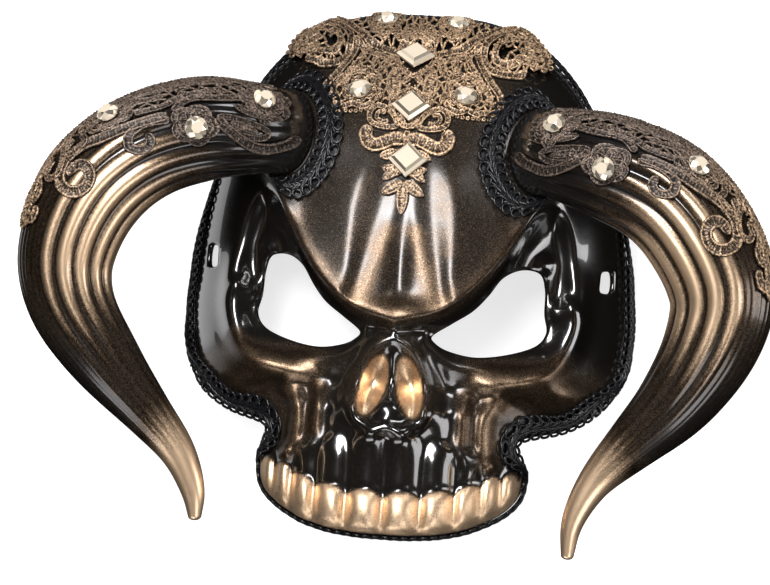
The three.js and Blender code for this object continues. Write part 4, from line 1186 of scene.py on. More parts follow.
def braid_form(band, pitch, radius):
    """Curls on both sides of the ribbon's middle, and the slanting strands between them."""
    form = Form()
    count = int(band.length / pitch)
    pitch = band.length / count
    half = band.width / 2

    def strand(path, first, side, thickness):
        knots = np.array(path) + [first, 0, 0]
        knots[:, 0] *= pitch
        knots[:, 1] = half + side * knots[:, 1] * (half - radius)
        cord = even_line(smooth_line(knots, 5), CORD_STEP)
        line, normal = band.at(cord[:, 0], cord[:, 1], BRAID_GAP + cord[:, 2])
        tube(form, line, thickness, normal, run=np.arange(len(line)) * CORD_STEP)

    for side in (-1, 1):
        for k in range(count):
            start = k + (SIDE_SHIFT if side > 0 else 0)
            strand(CURL, start, side, radius)
            strand(FEATHER, start + FEATHER_SHIFT, side, radius * FEATHER_THIN)
    across = np.concatenate([TAPE_ACROSS, TAPE_ACROSS[::-1]])
    level = np.repeat(TAPE_LEVELS, len(TAPE_ACROSS))
    runs = np.arange(int(band.length / TAPE_STEP)) * TAPE_STEP
    u, v = np.repeat(runs, len(across)), np.tile(across, len(runs)) * band.width
    tape, _ = band.at(u, v, np.tile(level, len(runs)))
    form.add(tape, [grid_faces(len(runs), len(across), True, True)], run=0.0)
    spine = np.arange(0, band.length, CORD_STEP)
    height = np.full(len(spine), BRAID_GAP + SPINE_HEIGHT)
    line, normal = band.at(spine, np.full(len(spine), half), height)
    tube(form, line, radius * SPINE_THICK, normal, True, run=spine)
    return form


CORD_DARK, CORD_LIGHT = (0.002, 0.002, 0.0022), (0.006, 0.006, 0.007)


def braid_cord():
    """Black satin cord with a fine twist."""
    paint = Paint("black_scroll_cord")
    twist = paint.noise(0.22, 1)
    return paint.finish({
        "Base Color": paint.blend(paint.noise(1.4, 2), CORD_DARK, CORD_LIGHT),
        "Roughness": paint.fit(twist, 0.2, 0.8, 0.2, 0.36),
        "Specular IOR Level": 0.34,
        "Normal": paint.bump(twist, 0.04),
    })


class SKULLMASK_OT_braid(bpy.types.Operator):
    """Makes the scroll braid on the edge and round the horn roots"""

    bl_idname = "skullmask.braid"
    bl_label = "Make the braid"

    def execute(self, context):
        sizes = context.scene.mask_sizes
        material = braid_cord()
        pitch, radius = sizes.braid_pitch / MM, sizes.cord / MM
        form = braid_form(edge_band(), pitch, radius)
        form.piece("scroll_braid_edge", material, "black_braid", ["edge_braid"])
        for name in HORNS:
            form = braid_form(collar_band(Horn(name)), pitch, radius)
            form.piece(f"scroll_braid_{name}", material, "black_braid", [f"horn_collar_{name}"])
        return {"FINISHED"}


# Lace


# Step of the stitches, heights between which the thread turns from painted shade to painted light,
# the painted light on a cord, and how much one stitch differs from the next
STITCH, HOLLOW, CREST, CORD_PAINTED_LIGHT = 0.52, 0.3, 1.3, 0.75
STITCH_LEAST, STITCH_SWAY, STITCH_BEAT, CORD_SWAY, CORD_STITCH = 0.8, 0.4, 1.7, 0.12, 0.78
# A tape's section: share of its half width and height in millimetres, round its edge
TAPE_SECTION = np.array([
    [-1, 0.1], [-1, 0.6], [-0.78, 1.2], [-0.5, 0.5], [0, 0.6], [0.5, 0.5], [0.78, 1.2], [1, 0.6],
    [1, 0.1],
])
TAPE_RIBS = np.array([0, 0.1, 0.24, 0.34, 0.38, 0.34, 0.24, 0.1, 0])
VEIN_RISE, TAPE_BLUNT = 0.55, 0.03
# A flower's petals: share of its room that one takes, the size of its loop and tape, the rib
# inside it, and the ring round the stone
LOOP_CLEAR, LOOP_REACH, LOOP_TAPE = 0.92, 0.7, 0.5
RIB, RIB_HEIGHT, STONE_RING, RING_TAPE = 0.5, 0.7, 5.2, 1.5
# Points of a scroll's roll, and small loops: thickness, height and step
ROLL_POINTS = 14
PICOT, PICOT_HEIGHT, PICOT_STEP = 0.36, 0.45, 2.1
# Bars of the net: pitch, radius, height and its change where they cross, step, and how they wave
NET_PITCH, BAR, BAR_HEIGHT, BAR_CROSSING, BAR_STEP = 2.9, 0.5, 0.42, 0.08, 0.7
BAR_WAVE, BAR_TURNS, BAR_BEAT = 0.5, 1.1, 2.3


def petal_shape(u):
    """Share of a petal's full width along it, widest before its middle."""
    return 0.3 + 0.7 * np.sin(math.pi * u**0.8) ** 0.8


def up_and_down(count):
    """One and minus one in turn, for stitches."""
    return np.where(np.arange(count) % 2, 1.0, -1.0)


class Lace:
    """Corded tapes, petals, flowers and net, drawn flat in millimetres and laid on a surface."""

    def __init__(self, lay, gold):
        self.form, self.lay, self.gold = Form(), lay, gold

    def tape(self, points, width, closed=False, vein=0.0, shape=None):
        """A ribbed tape with a cord along each side."""
        line = even_line(smooth_line(points, 6, closed), STITCH, closed)
        tangent = directions(line, closed)
        u = np.linspace(0, 1, len(line))
        half = np.full(len(line), width / 2)
        if not closed:
            rounded = np.minimum(u, 1 - u) * len(line) * STITCH / (width / 2)
            half = half * np.sqrt(1 - (1 - np.clip(rounded, TAPE_BLUNT, 1)) ** 2)
        if shape is not None:
            half = half * shape(u)
        side = np.stack([-tangent[:, 1], tangent[:, 0]], 1)
        plan = line[:, None] + side[:, None] * (half[:, None] * TAPE_SECTION[:, 0])[..., None]
        uneven = STITCH_LEAST + STITCH_SWAY * np.sin(np.arange(len(line)) * STITCH_BEAT)
        height = TAPE_SECTION[:, 1] + (up_and_down(len(line)) * uneven)[:, None] * TAPE_RIBS
        height[:, len(TAPE_RIBS) // 2] += vein * VEIN_RISE
        flat = plan.reshape(-1, 2)
        # Painted shade by height: none on the tape's crests, full in its hollows
        relief = smoothstep(HOLLOW, CREST, height).ravel()
        laid = self.lay(flat[:, 0], flat[:, 1], height.ravel())
        columns = len(TAPE_SECTION)
        faces = [grid_faces(len(line), columns, round_rows=closed, round_columns=True)]
        if not closed:
            last = (len(line) - 1) * columns + np.arange(columns)[None]
            faces += [np.arange(columns)[None, ::-1], last]
        self.form.add(laid, faces, relief=relief, gold=self.gold(flat[:, 0], flat[:, 1]))

    def cord(self, points, radius, height, closed=False, steps=4):
        """A plain round cord."""
        line = even_line(smooth_line(points, steps, closed), CORD_STITCH, closed)
        x, y = line[:, 0], line[:, 1]
        laid = self.lay(x, y, np.full(len(line), height))
        normal = self.lay(x, y, np.full(len(line), height + 1)) - laid
        bump = 1 + CORD_SWAY * up_and_down(len(line))
        # Every cord is painted with the same level of light
        tube(self.form, laid, radius * bump, normal, closed, relief=CORD_PAINTED_LIGHT, gold=self.gold(x, y))

    def petal(self, base, tip, width):
        """A leaf with a corded edge and a raised vein."""
        base, tip = np.array(base, float), np.array(tip, float)
        self.tape([base, (base + tip) / 2, tip], width, vein=1.0, shape=petal_shape)

    def flower(self, centre, radius, petals, start):
        """Looped petals round a ring for a stone."""
        centre = np.array(centre, float)
        loop = radius * math.sin(math.pi / petals) * LOOP_CLEAR
        for k in range(petals):
            angle = start + 2 * math.pi * k / petals
            out = np.array([math.cos(angle), math.sin(angle)])
            middle = centre + out * (radius - loop)
            points = middle + loop * LOOP_REACH * spokes(angle + round_angles(8))
            self.tape(points, loop * LOOP_TAPE, closed=True)
            self.cord([centre + out * STONE_RING, middle], RIB, RIB_HEIGHT)
        ring = centre + STONE_RING * spokes(round_angles(12))
        self.tape(ring, RING_TAPE, closed=True)

    def spiral(self, points, width, centre, turns, end):
        """A tape that rolls up round a centre."""
        start = np.array(points[-1], float) - centre
        first, reach = math.atan2(start[1], start[0]), math.hypot(*start)
        share = np.linspace(0, 1, ROLL_POINTS)[1:]
        radius = reach + (end - reach) * share
        roll = np.array(centre) + radius[:, None] * spokes(first + turns * 2 * math.pi * share)
        self.tape(np.vstack([points, roll]), width)

    def picots(self, points, radius):
        """A row of small loops along a line."""
        loop = radius * LOOP_REACH * spokes(round_angles(6))
        for place in even_line(smooth_line(points, 6), radius * PICOT_STEP):
            self.cord(place + loop, PICOT, PICOT_HEIGHT, True, 2)

    def net(self, border, lean, holes=()):
        """Slanting bars both ways inside a border, clear of round holes."""
        border = smooth_line(border, 3, True)
        low, high = border.min(axis=0), border.max(axis=0)
        reach = float(np.linalg.norm(high - low)) / 2
        middle = (low + high) / 2
        for side in (-1, 1):
            along = unit(np.array([lean, side]))
            across = np.array([-along[1], along[0]])
            run = np.arange(-reach, reach, BAR_STEP)
            for step in np.arange(-reach, reach, NET_PITCH):
                wave = BAR_WAVE * np.sin(run * BAR_TURNS + step * BAR_BEAT + side)
                line = middle + across * (step + wave)[:, None] + along * run[:, None]
                inside = is_inside(border, line[:, 0], line[:, 1])
                for x, y, r in holes:
                    inside &= np.hypot(line[:, 0] - x, line[:, 1] - y) > r
                edges = np.flatnonzero(np.diff(np.concatenate([[0], inside.astype(int), [0]])))
                for first, last in zip(edges[::2], edges[1::2]):
                    if last - first > 2:
                        self.cord(line[first:last], BAR, BAR_HEIGHT + BAR_CROSSING * side, steps=1)


# Crown lace: its middle line leans a little, and each motif is drawn once and mirrored over it
LACE_LEAN = np.array([[42, -1.2], [50, -1.3], [72, -1.9], [86, -2.3], [108, -2.6], [123, -2.6]])
BRAID_RISE, BRAID_RISE_FROM, BRAID_RISE_TO = 2.3, 14.0, 11.5
LACE_TOP, LACE_GAP = 121.0, 0.25
CROWN_TAPES = [
    ([(0, 71.2), (4.4, 71.6), (8.6, 69.8), (12, 68.6), (15, 70), (15.9, 73.2), (13.8, 75.2)], 5.8),
    ([(7.6, 78.2), (10.4, 78), (12.4, 79.6), (11.4, 81.8), (9, 81.2)], 1.7),
    ([(6.4, 92), (7.3, 87), (6.2, 81.6), (2.6, 76.4)], 2.3),
    ([(6.5, 105.7), (12.7, 107.6), (19, 109.6), (23.8, 112.9), (29.8, 116.5), (37, 118.6)], 2.8),
    ([(8.5, 103), (14, 104.6), (20, 106.8), (25, 110.2)], 2.4),
    ([(22.8, 111.3), (25.7, 103.6), (30.4, 96.3), (34.6, 90.5), (34.4, 85.7), (30.6, 83)], 2.8),
    ([(19, 108.8), (22.4, 102), (27, 95.4), (30.6, 90.4), (30.2, 86.7)], 2.4),
    ([
        (36.8, 117), (31.2, 115.6), (26.6, 111), (26.6, 105.8), (29.6, 101.9), (34.9, 100.4),
        (43, 100.4),
    ], 3),
    ([
        (41, 113.6), (36, 113.8), (31.6, 111.6), (30.2, 108), (31.8, 105.2), (36.4, 104), (43, 104.6),
    ], 2.6),
    ([(37, 118.6), (42, 116), (46.6, 111.2), (49.6, 105.6), (48.6, 101)], 2.6),
    ([(9.8, 104), (11.6, 100), (13.8, 96), (13.4, 91.6), (11.8, 87)], 2.2),
]
CROWN_RING = [(4.6, 76.4), (9.9, 76), (14.4, 77.6), (15.2, 81.3), (12.6, 84.2), (8.4, 83), (5.2, 79.8)]
CROWN_SCALLOP = [(13.4, 88), (15.4, 84.9), (19, 83.4), (22.4, 84.6), (25.6, 83.2), (29, 84), (32, 83.4)]
CROWN_PICOTS = [
    ([(15, 83.4), (20, 81.8), (25, 81.6), (31, 81.6)], 0.95),
    ([(39, 119.2), (45, 114.6), (50.2, 108.4), (51.4, 103.4)], 1.2),
]
CROWN_PETALS = [
    ((0.4, 55), (8.2, 49.8), 4.8), ((0.8, 58.5), (8.6, 60), 4.8), ((1, 61.5), (8.2, 55.2), 4.2),
    ((3, 66.4), (10, 64), 4.4), ((0.8, 75.6), (4.4, 81.4), 3.2), ((7, 87.6), (7.4, 100.8), 6.6),
    ((40, 112.6), (47.6, 109.4), 3), ((39, 109.6), (48.4, 105.4), 3.2), ((38, 106.6), (47, 102.6), 2.8),
    ((0.6, 97), (5.4, 93.4), 2.8), ((1.2, 113.4), (8.4, 110.4), 3), ((24, 99), (27.5, 92), 3.4),
    ((13.6, 112.4), (20, 115.4), 3.4), ((16, 99.6), (15.4, 106), 3),
]
CROWN_NETS = [
    [
        (2, 90), (9, 86), (16, 85.4), (24, 84.6), (32, 85), (33, 90), (28, 97), (23, 104), (21, 109),
        (12, 106.5), (6, 104), (1, 98),
    ],
    [(0, 109), (8, 107), (18, 110), (27, 115.5), (30, 118), (20, 120), (0, 120.6)],
    [(28, 104), (36, 101), (44, 101), (49, 104), (46, 111), (40, 116), (33, 115.4), (28.6, 111)],
]
# Holes in the net, the flowers round the stones, and the lean of the net's bars
TEARDROP_HOLE, FLOWER_HOLE, CROWN_LEAN = (32.8, 108.4, 2.6), 7.2, 0.85
FLOWER_AT, FLOWER_REACH, FLOWER_TURN = (20.6, 92.4), 8.2, 0.3
TOP_FLOWER_AT, TOP_FLOWER_REACH, TOP_FLOWER_TURN = (13.6, 117.6), 7.4, 0.2
# On the middle line: the spray's long leaf and stem, the fan, and the diamonds under square stones
LONG_LEAF, STEM = ((0, 54.8), (0, 42.2), 5.0), ([(0, 75), (0, 68)], 2.4)
FAN_AT, FAN_START, FAN_ENDS, FAN_WIDTH = (0, 111.0), 1.5, (6.6, 7.6), 2.8
DIAMONDS_AT, DIAMOND = (84.0, 104.6), 7.52 * np.array([(0, -1), (1, 0), (0, 1), (-1, 0)])
# Width of most closed tapes, and petals of the crown's flowers and of its fan
FINE_TAPE, LOOP_WIDTH, PETALS = 2.2, 2.4, 7
# Share of bronze in the crown's thread: at the left, more at the right and low down, less on the
# spray, and where each change begins and ends
GOLD_LEFT, GOLD_RIGHT, GOLD_LOW, GOLD_SPRAY = 0.62, 0.3, 0.25, 0.4
RIGHTWARD, DOWNWARD, TO_SPRAY = (-20, 25), (100, 60), (68, 56)


def crown_lay():
    """Where the crown lace lies: on the forehead, and over the edge braid near the crown."""
    edge = even_line(outline, 2.0, True)

    def lay(x, y, off):
        y = np.minimum(y, LACE_TOP)
        px = x + read(LACE_LEAN, y)
        inside = nearest(edge, px, y, True)[0]
        rise = BRAID_RISE * smoothstep(BRAID_RISE_TO, BRAID_RISE_FROM, inside)
        return off_skull(px, y, off + LACE_GAP + BRAID_RISE - rise)

    return lay


def crown_gold(x, y):
    right, low = GOLD_RIGHT * smoothstep(*RIGHTWARD, x), GOLD_LOW * smoothstep(*DOWNWARD, y)
    return GOLD_LEFT + right + low - GOLD_SPRAY * smoothstep(*TO_SPRAY, y)


def crown_lace():
    lace = Lace(crown_lay(), crown_gold)
    lace.petal(*LONG_LEAF)
    lace.tape(*STEM)
    for side in (-1, 1):
        flip = np.array([side, 1.0])
        for points, width in CROWN_TAPES:
            lace.tape(np.array(points) * flip, width)
        lace.tape(np.array(CROWN_RING) * flip, FINE_TAPE, closed=True)
        for base, tip, width in CROWN_PETALS:
            lace.petal(base * flip, tip * flip, width)
        flower = FLOWER_AT * flip
        lace.flower(flower, FLOWER_REACH, PETALS, FLOWER_TURN)
        x, y, reach = TEARDROP_HOLE
        holes = [(*flower, FLOWER_HOLE), (x * side, y, reach)]
        for border in CROWN_NETS:
            lace.net(np.array(border) * flip, CROWN_LEAN, holes)
        lace.tape(np.array(CROWN_SCALLOP) * flip, LOOP_WIDTH)
        for points, radius in CROWN_PICOTS:
            lace.picots(np.array(points) * flip, radius)
        lace.flower(TOP_FLOWER_AT * flip, TOP_FLOWER_REACH, PETALS, TOP_FLOWER_TURN)
    for k in range(PETALS):
        angle = math.pi * k / (PETALS - 1)
        out = np.array([math.cos(angle), math.sin(angle)])
        lace.petal(FAN_AT + out * FAN_START, FAN_AT + out * FAN_ENDS[k % 2], FAN_WIDTH)
    for y in DIAMONDS_AT:
        lace.tape(np.array([0, y]) + DIAMOND, FINE_TAPE, closed=True)
    return lace.form


# Horn lace: along the horn in millimetres, and round it in degrees from the outer side
HORN_TAPES = [
    ([(21, 84), (19, 94), (14, 103), (7, 108), (0, 106), (-5, 99), (-6, 90)], 4.2),
    ([(34, 72), (28, 60), (20, 60), (13, 54), (11, 44), (15, 34), (24, 34), (34, 40)], 2.8),
    ([(45, 60), (37, 63), (29, 54), (21, 50), (17, 44)], 2.4),
    ([(2, 30), (12, 22), (24, 24), (36, 24), (46, 16), (56, 18)], 2.8),
    ([(0, 12), (12, 6), (26, 10), (40, 8), (52, 2), (66, 6), (78, 4)], 2.8),
    ([(2, -8), (14, -10), (28, -6), (42, -8), (56, -12), (70, -8)], 2.6),
    ([(4, -26), (16, -28), (32, -22), (48, -26), (62, -24)], 2.6),
    ([(36, 50), (44, 46), (50, 58), (56, 56)], 2.6),
    ([(56, 30), (60, 44), (61, 56), (66, 56), (67, 46), (63, 40)], 2.4),
    ([(66, 34), (69, 50), (73, 57), (76, 50), (75, 40), (71, 38)], 2.4),
    ([(72, 20), (77, 30), (81, 44), (84, 38), (82, 28)], 2.6),
    ([(60, 22), (70, 14), (80, 10), (88, 18), (92, 30), (90, 40)], 3.0),
]
HORN_LOOPS = [
    [(20, 84), (14, 98), (8, 98), (3, 94), (2, 87), (8, 83)],
    [(24, 30), (34, 32), (44, 30), (36, 36)],
    [(4, 60), (9, 66), (14, 68), (10, 72), (4, 70)],
]
HORN_PETALS = [
    ((17, 88), (6, 91), 3.4), ((2, 52), (1, 64), 3.6), ((-1, 44), (-2, 32), 3.6),
    ((6, 50), (13, 53), 3.2), ((14, 18), (26, 16), 3), ((30, 16), (42, 14), 3), ((46, 8), (58, 10), 3),
    ((16, 0), (28, 2), 3), ((32, 0), (44, 0), 3), ((58, -2), (70, -2), 3.2),
    ((20, -16), (34, -14), 3.2), ((38, -16), (52, -18), 3.2),
]
HORN_NET = [
    (0, -30), (20, -32), (44, -30), (64, -26), (80, 0), (84, 18), (74, 30), (56, 40), (44, 58),
    (30, 64), (14, 58), (6, 70), (-2, 64), (-3, 20),
]
# Scrolls: the tape's path, its width, the middle that it rolls round, turns and last radius
HORN_SCROLLS = [
    ([(36, 82), (43, 78), (49, 82), (51, 92)], 3.4, (46.5, 93), 0.6, 2.0),
    ([(36, 76), (46, 74), (55, 68), (63, 58), (70, 56), (75, 66), (76, 80)], 4.4, (70, 80), 0.85, 2.6),
    ([(70, 26), (78, 26), (86, 34)], 3.4, (87, 44), 0.7, 1.6),
]
# Where the thread turns from dark to bronze along each horn, with the shares of bronze there
HORN_FADE, HORN_DARK, HORN_BRONZE = {"left": (45, 95), "right": (38, 80)}, 0.08, 0.74
HORN_LEAN, HORN_FLOWER, HORN_FLOWER_TURN, HORN_FLOWER_PETALS = 1.2, 8.4, 0.4, (6, 5, 7)


class HornPlan:
    """Flat millimetres on a horn: along it, and round it from its outer side."""

    MEAN_REACH, LEAST_REACH = 18.5, 8.0
    GAP, ROOT_GAP, FLUTE_RISE, FLUTE_LEAST = 0.55, 0.5, 0.6, -0.3

    def __init__(self, horn):
        self.horn = horn

    def flat(self, points):
        points = np.array(points, float)
        points[..., 1] *= math.radians(1) * self.MEAN_REACH
        return points

    def lay(self, x, y, off):
        horn = self.horn
        t = np.interp(x, horn.length, horn.share)
        degrees = np.degrees(y / np.maximum(horn.reach(t), self.LEAST_REACH))
        rise = horn.flute(t, degrees).clip(self.FLUTE_LEAST, 1) * self.FLUTE_RISE
        points, _ = horn.at(t, degrees, self.GAP + off + rise)
        behind = x < 0
        if behind.any():
            share = 1 + x[behind] / horn.ROOT_SPAN
            points[behind] = horn.fillet(degrees[behind], share, off[behind] + self.ROOT_GAP)
        return points


def horn_lace(name):
    horn = Horn(name)
    plan = HornPlan(horn)
    lace = Lace(plan.lay, lambda x, y: HORN_DARK + HORN_BRONZE * smoothstep(*HORN_FADE[name], x))
    for points, width in HORN_TAPES:
        lace.tape(plan.flat(points), width)
    for points in HORN_LOOPS:
        lace.tape(plan.flat(points), LOOP_WIDTH, closed=True)
    for base, tip, width in HORN_PETALS:
        lace.petal(plan.flat(base), plan.flat(tip), width)
    for points, width, centre, turns, end in HORN_SCROLLS:
        lace.spiral(plan.flat(points), width, plan.flat(centre), turns, end)
    for (t, degrees), petals in zip(HORN_STONES[name], HORN_FLOWER_PETALS):
        middle = plan.flat((np.interp(t, horn.share, horn.length), degrees))
        lace.flower(middle, HORN_FLOWER, petals, HORN_FLOWER_TURN)
    lace.net(plan.flat(HORN_NET), HORN_LEAN)
    return lace.form


# Painted shade in the hollows of the dark and the bronze lace
DARK_LACE_PAINTED_SHADE, BRONZE_LACE_PAINTED_SHADE = (0.004, 0.0035, 0.003), (0.02, 0.011, 0.006)


def thread(name, sizes):
    """Metallic thread, with painted shade that darkens it in the hollows of the lace."""
    paint = Paint(name)
    relief, gold = paint.mark("relief"), paint.mark("gold")
    fleck = paint.noise(0.75, 3, None, 0.75)
    strand = paint.flakes(0.6)
    # Painted shade from the lace's height, with random flecks and strands of tone on top
    light = (relief * 1.15 - 0.3 + (fleck - 0.5) * 2.8 + (strand - 0.5) * 0.9).kept()
    dark_tone = paint.blend(light, DARK_LACE_PAINTED_SHADE, tuple(sizes.thread))
    gold_tone = paint.blend(light, BRONZE_LACE_PAINTED_SHADE, tuple(sizes.gold_thread))
    return paint.finish({
        "Base Color": paint.blend(gold.kept(), dark_tone, gold_tone),
        "Metallic": 0.6,
        "Roughness": paint.fit(strand, 0.0, 1.0, 0.36, 0.55),
        "Normal": paint.bump(fleck, 0.15),
    })


class SKULLMASK_OT_lace(bpy.types.Operator):
    """Makes the lace on the crown and on both horns"""

    bl_idname = "skullmask.lace"
    bl_label = "Make the lace"

    def execute(self, context):
        sizes = context.scene.mask_sizes
        material = thread("bronze_thread", sizes)
        crown_lace().piece("guipure_crown", material, "bronze_lace", ["crown_lace"])
        material = thread("dark_thread", sizes)
        for name in HORNS:
            horn_lace(name).piece(f"guipure_{name}", material, "dark_lace", [f"horn_lace_{name}"])
        return {"FINISHED"}


# Stones


# Radius and height of each ring of points, from the foot to the table
ROUND_LEVELS = [(4.5, 0.0), (4.5, 0.9), (3.5, 2.0), (2.3, 2.7)]
SQUARE_LEVELS = [(7.6, 0.0), (7.6, 0.9), (6.3, 2.0), (4.9, 2.8)]
ROUND_FOOT = 0.97


def level_ring(radius, z, angle):
    return np.column_stack([radius * np.cos(angle), radius * np.sin(angle), np.full(len(angle), z)])


def round_stone():
    """Points and flat faces of a round stone with a table, kites and girdle facets."""
    sixteen, eight = round_angles(16), round_angles(8)
    (base, z0), (girdle, z1), (middle, z2), (table, z3) = ROUND_LEVELS
    points = np.vstack([
        level_ring(base * ROUND_FOOT, z0, sixteen), level_ring(girdle, z1, sixteen),
        level_ring(middle, z2, eight + math.pi / 8), level_ring(table, z3, eight),
    ])
    faces = [list(range(15, -1, -1)), list(range(40, 48))]
    for i in range(16):
        faces.append([i, (i + 1) % 16, 16 + (i + 1) % 16, 16 + i])
    for i in range(8):
        last = (i - 1) % 8
        left, tip, right = 16 + 2 * i, 16 + (2 * i + 1) % 16, 16 + (2 * i + 2) % 16
        faces += [[left, tip, 32 + i], [tip, right, 32 + i]]
        faces.append([left, 32 + i, 40 + i, 32 + last])
        faces.append([32 + i, 40 + (i + 1) % 8, 40 + i])
    return points, faces


def square_stone():
    """Points and flat faces of a square stone with a wide table and two rows of steps."""
    points = np.vstack([level_ring(radius, z, round_angles(4)) for radius, z in SQUARE_LEVELS])
    faces = [[3, 2, 1, 0], [12, 13, 14, 15]]
    for level in range(3):
        low = 4 * level
        faces += [[low + i, low + (i + 1) % 4, low + 4 + (i + 1) % 4, low + 4 + i] for i in range(4)]
    return points, faces


# Share of the foil's colour left on the darkest painted facets
DARKEST_PAINTED_FACET = 0.1


def stone_foil(sizes):
    """Glass with gold foil behind it, each of its facets with its own tone of painted reflection."""
    paint = Paint("gold_foil_stone")
    painted_facet_light = paint.mark("painted_facet_light")
    # Facets run from the foil's colour in painted shade to its full colour
    dark = tuple(c * DARKEST_PAINTED_FACET for c in sizes.stone)
    return paint.finish({
        "Base Color": paint.blend(painted_facet_light, dark, tuple(sizes.stone)),
        "Metallic": 0.5,
        "Roughness": 0.13,
        "Coat Weight": 0.6,
        "Coat Roughness": 0.01,
    })


# Tones of painted reflection on the facets, of which the table is the second, and how far each
# stone's foot stands off what is under it
FACET_SEED, PAINTED_FACET_CONTRAST, TABLE, TABLE_PAINTED_LIGHT = 7, 1.2, 1, 0.8
LIFT, LIFT_ON_BRAID, LIFT_ON_HORN, HORN_STONE_TURN = 2.1, 3.45, 2.6, 0.3
FOLD_REACH, LEAN_WITH_FOLDS = 1.5, 0.3


def place_stone(node, shape, foot, normal, turn, material, seed):
    points, faces = shape
    across = unit(np.cross(normal, [math.sin(turn), -math.cos(turn), 0.0]))
    upward = np.cross(normal, across)
    form = Form()
    form.add(foot + points @ np.stack([across, upward, normal]), [], run=0.0)
    form.faces = [np.array([face]) for face in faces]
    draw = np.random.default_rng(FACET_SEED + seed)
    # Each of the facets is painted a random tone of reflection, and the table a bright painted
    # highlight
    painted_facet_tones = draw.random(len(faces)) ** PAINTED_FACET_CONTRAST
    painted_facet_tones[TABLE] = TABLE_PAINTED_LIGHT
    form.piece(f"{node}_cut", material, "gold_stone", [node], smooth=False, face_marks={"painted_facet_light": painted_facet_tones})


class SKULLMASK_OT_stones(bpy.types.Operator):
    """Sets the round and square stones on the crown and horns"""

    bl_idname = "skullmask.stones"
    bl_label = "Set the stones"

    def execute(self, context):
        material = stone_foil(context.scene.mask_sizes)
        seed = 0
        for kind, shape, places in (
            ("crown", round_stone(), CROWN_ROUNDS), ("square", square_stone(), CROWN_SQUARES),
        ):
            for i, (px, py) in enumerate(places):
                x, y = np.array([float(px)]), np.array([float(py)])
                folds, plain = normal_of(skull, x, y, FOLD_REACH), normal_of(base_height, x, y)
                normal = unit(LEAN_WITH_FOLDS * folds + (1 - LEAN_WITH_FOLDS) * plain)[0]
                foot = off_skull(x, y, np.array([LIFT_ON_BRAID if py > ON_BRAID else LIFT]))[0]
                node = f"{kind}_stone_{i + 1}"
                place_stone(node, shape, foot, normal, 0.0, material, seed)
                seed += 1
        for name, places in HORN_STONES.items():
            horn = Horn(name)
            for i, (t, degrees) in enumerate(places):
                foot, normal = horn.at(np.array([t]), np.array([float(degrees)]), LIFT_ON_HORN)
                node = f"horn_stone_{name}_{i + 1}"
                place_stone(node, round_stone(), foot[0], normal[0], HORN_STONE_TURN, material, seed)
                seed += 1
        return {"FINISHED"}


# Stage


CAMERA_TURN, CAMERA_ROLL, CAMERA_DISTANCE = 4.7, 4.0, 1400.0
CAMERA_AIM = (-4.5, 12.1, 80.0)
LENS, SENSOR, NEAREST, FARTHEST = 171.25, 36.0, 0.05, 20
FLOOR_SIZE, FLOOR_TONE, FLOOR_ROUGHNESS, FLOOR_GLOW = 6.0, 0.45, 0.9, 0.7
WHITE = (1.0, 1.0, 1.0)

# Soft boxes: place, width, height and power
SOFT_BOXES = [
    ("key_box", (-0.29, 0.62, 1.22), 0.34, 1.1, 42),
    ("top_box", (0.75, 1.2, 0.6), 0.5, 0.35, 6),
    ("right_box", (1.25, 0.0, 0.2), 0.45, 1.0, 8),
    ("low_box", (0.75, -0.8, 0.95), 0.6, 0.6, 6),
    ("chin_box", (-0.35, -1.15, 0.62), 1.1, 0.45, 7),
    ("left_card", (-0.95, 0.1, -0.8), 0.62, 0.42, 0.75),
]
LIGHT_AIM = (0.0, 0.0, 0.05)
LAMP_COLOUR = (1.0, 0.985, 1.0)
WORLD_LIGHT = 0.4


def soft_box(name, place, width, height, power):
    lamp = bpy.data.lights.new(name, "AREA")
    lamp.shape, lamp.size, lamp.size_y, lamp.energy = "RECTANGLE", width, height, power
    lamp.color = LAMP_COLOUR
    holder = bpy.data.objects.new(name, lamp)
    holder.location = place
    holder.rotation_euler = (Vector(LIGHT_AIM) - Vector(place)).to_track_quat("-Z", "Y").to_euler()
    bpy.context.scene.collection.objects.link(holder)


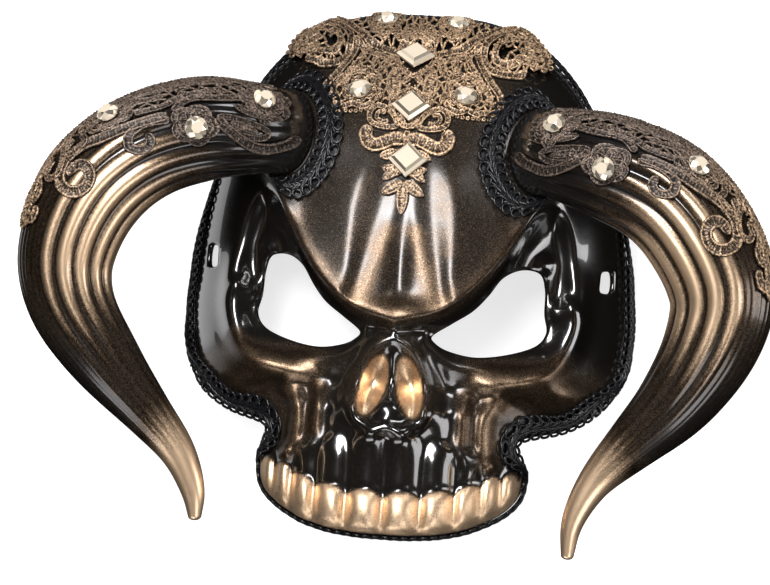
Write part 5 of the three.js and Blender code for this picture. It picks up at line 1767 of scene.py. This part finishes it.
class SKULLMASK_OT_stage(bpy.types.Operator):
    """Lays the pale floor and sets the soft lights and the camera"""

    bl_idname = "skullmask.stage"
    bl_label = "Set the stage"

    def execute(self, context):
        mesh = bpy.data.meshes.new("floor")
        half = FLOOR_SIZE / 2
        corners = [(-half, -half, 0), (half, -half, 0), (half, half, 0), (-half, half, 0)]
        mesh.from_pydata(corners, [], [(0, 1, 2, 3)])
        floor = bpy.data.objects.new("floor", mesh)
        context.scene.collection.objects.link(floor)
        paint = Paint("pale_floor")
        mesh.materials.append(paint.finish({
            "Base Color": (FLOOR_TONE, FLOOR_TONE, FLOOR_TONE), "Roughness": FLOOR_ROUGHNESS,
            "Emission Color": WHITE, "Emission Strength": FLOOR_GLOW,
        }))
        floor.visible_glossy = False

        turn, roll = math.radians(CAMERA_TURN), math.radians(CAMERA_ROLL)
        back = Vector((math.sin(turn), 0, math.cos(turn)))
        level = Vector((math.cos(turn), 0, -math.sin(turn)))
        upright = Vector((0, 1, 0))
        right = level * math.cos(roll) + upright * math.sin(roll)
        up = upright * math.cos(roll) - level * math.sin(roll)
        lens = bpy.data.cameras.new("camera")
        lens.lens, lens.sensor_width = LENS, SENSOR
        lens.clip_start, lens.clip_end = NEAREST, FARTHEST
        camera = bpy.data.objects.new("camera", lens)
        aim = (Vector(CAMERA_AIM) + Vector(FACE_ZERO)) * MM
        facing = Matrix((right, up, back)).transposed().to_4x4()
        camera.matrix_world = Matrix.Translation(aim + back * CAMERA_DISTANCE * MM) @ facing
        context.scene.collection.objects.link(camera)
        context.scene.camera = camera

        for box in SOFT_BOXES:
            soft_box(*box)
        world = bpy.data.worlds.new("studio")
        world.use_nodes = True
        sky = world.node_tree.nodes["Background"].inputs
        sky["Color"].default_value = (*WHITE, 1)
        sky["Strength"].default_value = WORLD_LIGHT
        context.scene.world = world
        world.cycles_visibility.glossy = False
        context.scene.view_settings.view_transform = "Standard"
        return {"FINISHED"}


class SKULLMASK_PT_panel(bpy.types.Panel):
    """Lists the mask's sizes, colours and making steps"""

    bl_idname = "SKULLMASK_PT_panel"
    bl_label = "Masquerade mask"
    bl_space_type = "VIEW_3D"
    bl_region_type = "UI"
    bl_category = "Mask"

    def draw(self, context):
        sizes = context.scene.mask_sizes
        for key in MaskSizes.__annotations__:
            self.layout.prop(sizes, key)
        for step in STEPS:
            self.layout.operator(step.bl_idname)


STEPS = [
    SKULLMASK_OT_stage, SKULLMASK_OT_shell, SKULLMASK_OT_horns, SKULLMASK_OT_braid, SKULLMASK_OT_lace,
    SKULLMASK_OT_stones,
]


def register():
    for found in (MaskSizes, *STEPS, SKULLMASK_PT_panel):
        bpy.utils.register_class(found)
    bpy.types.Scene.mask_sizes = PointerProperty(type=MaskSizes)


def unregister():
    del bpy.types.Scene.mask_sizes
    for found in (SKULLMASK_PT_panel, *reversed(STEPS), MaskSizes):
        bpy.utils.unregister_class(found)


def main():
    register()
    bpy.ops.skullmask.stage()
    bpy.ops.skullmask.shell()
    bpy.ops.skullmask.horns()
    bpy.ops.skullmask.braid()
    bpy.ops.skullmask.lace()
    bpy.ops.skullmask.stones()


if __name__ == "__main__":
    main()
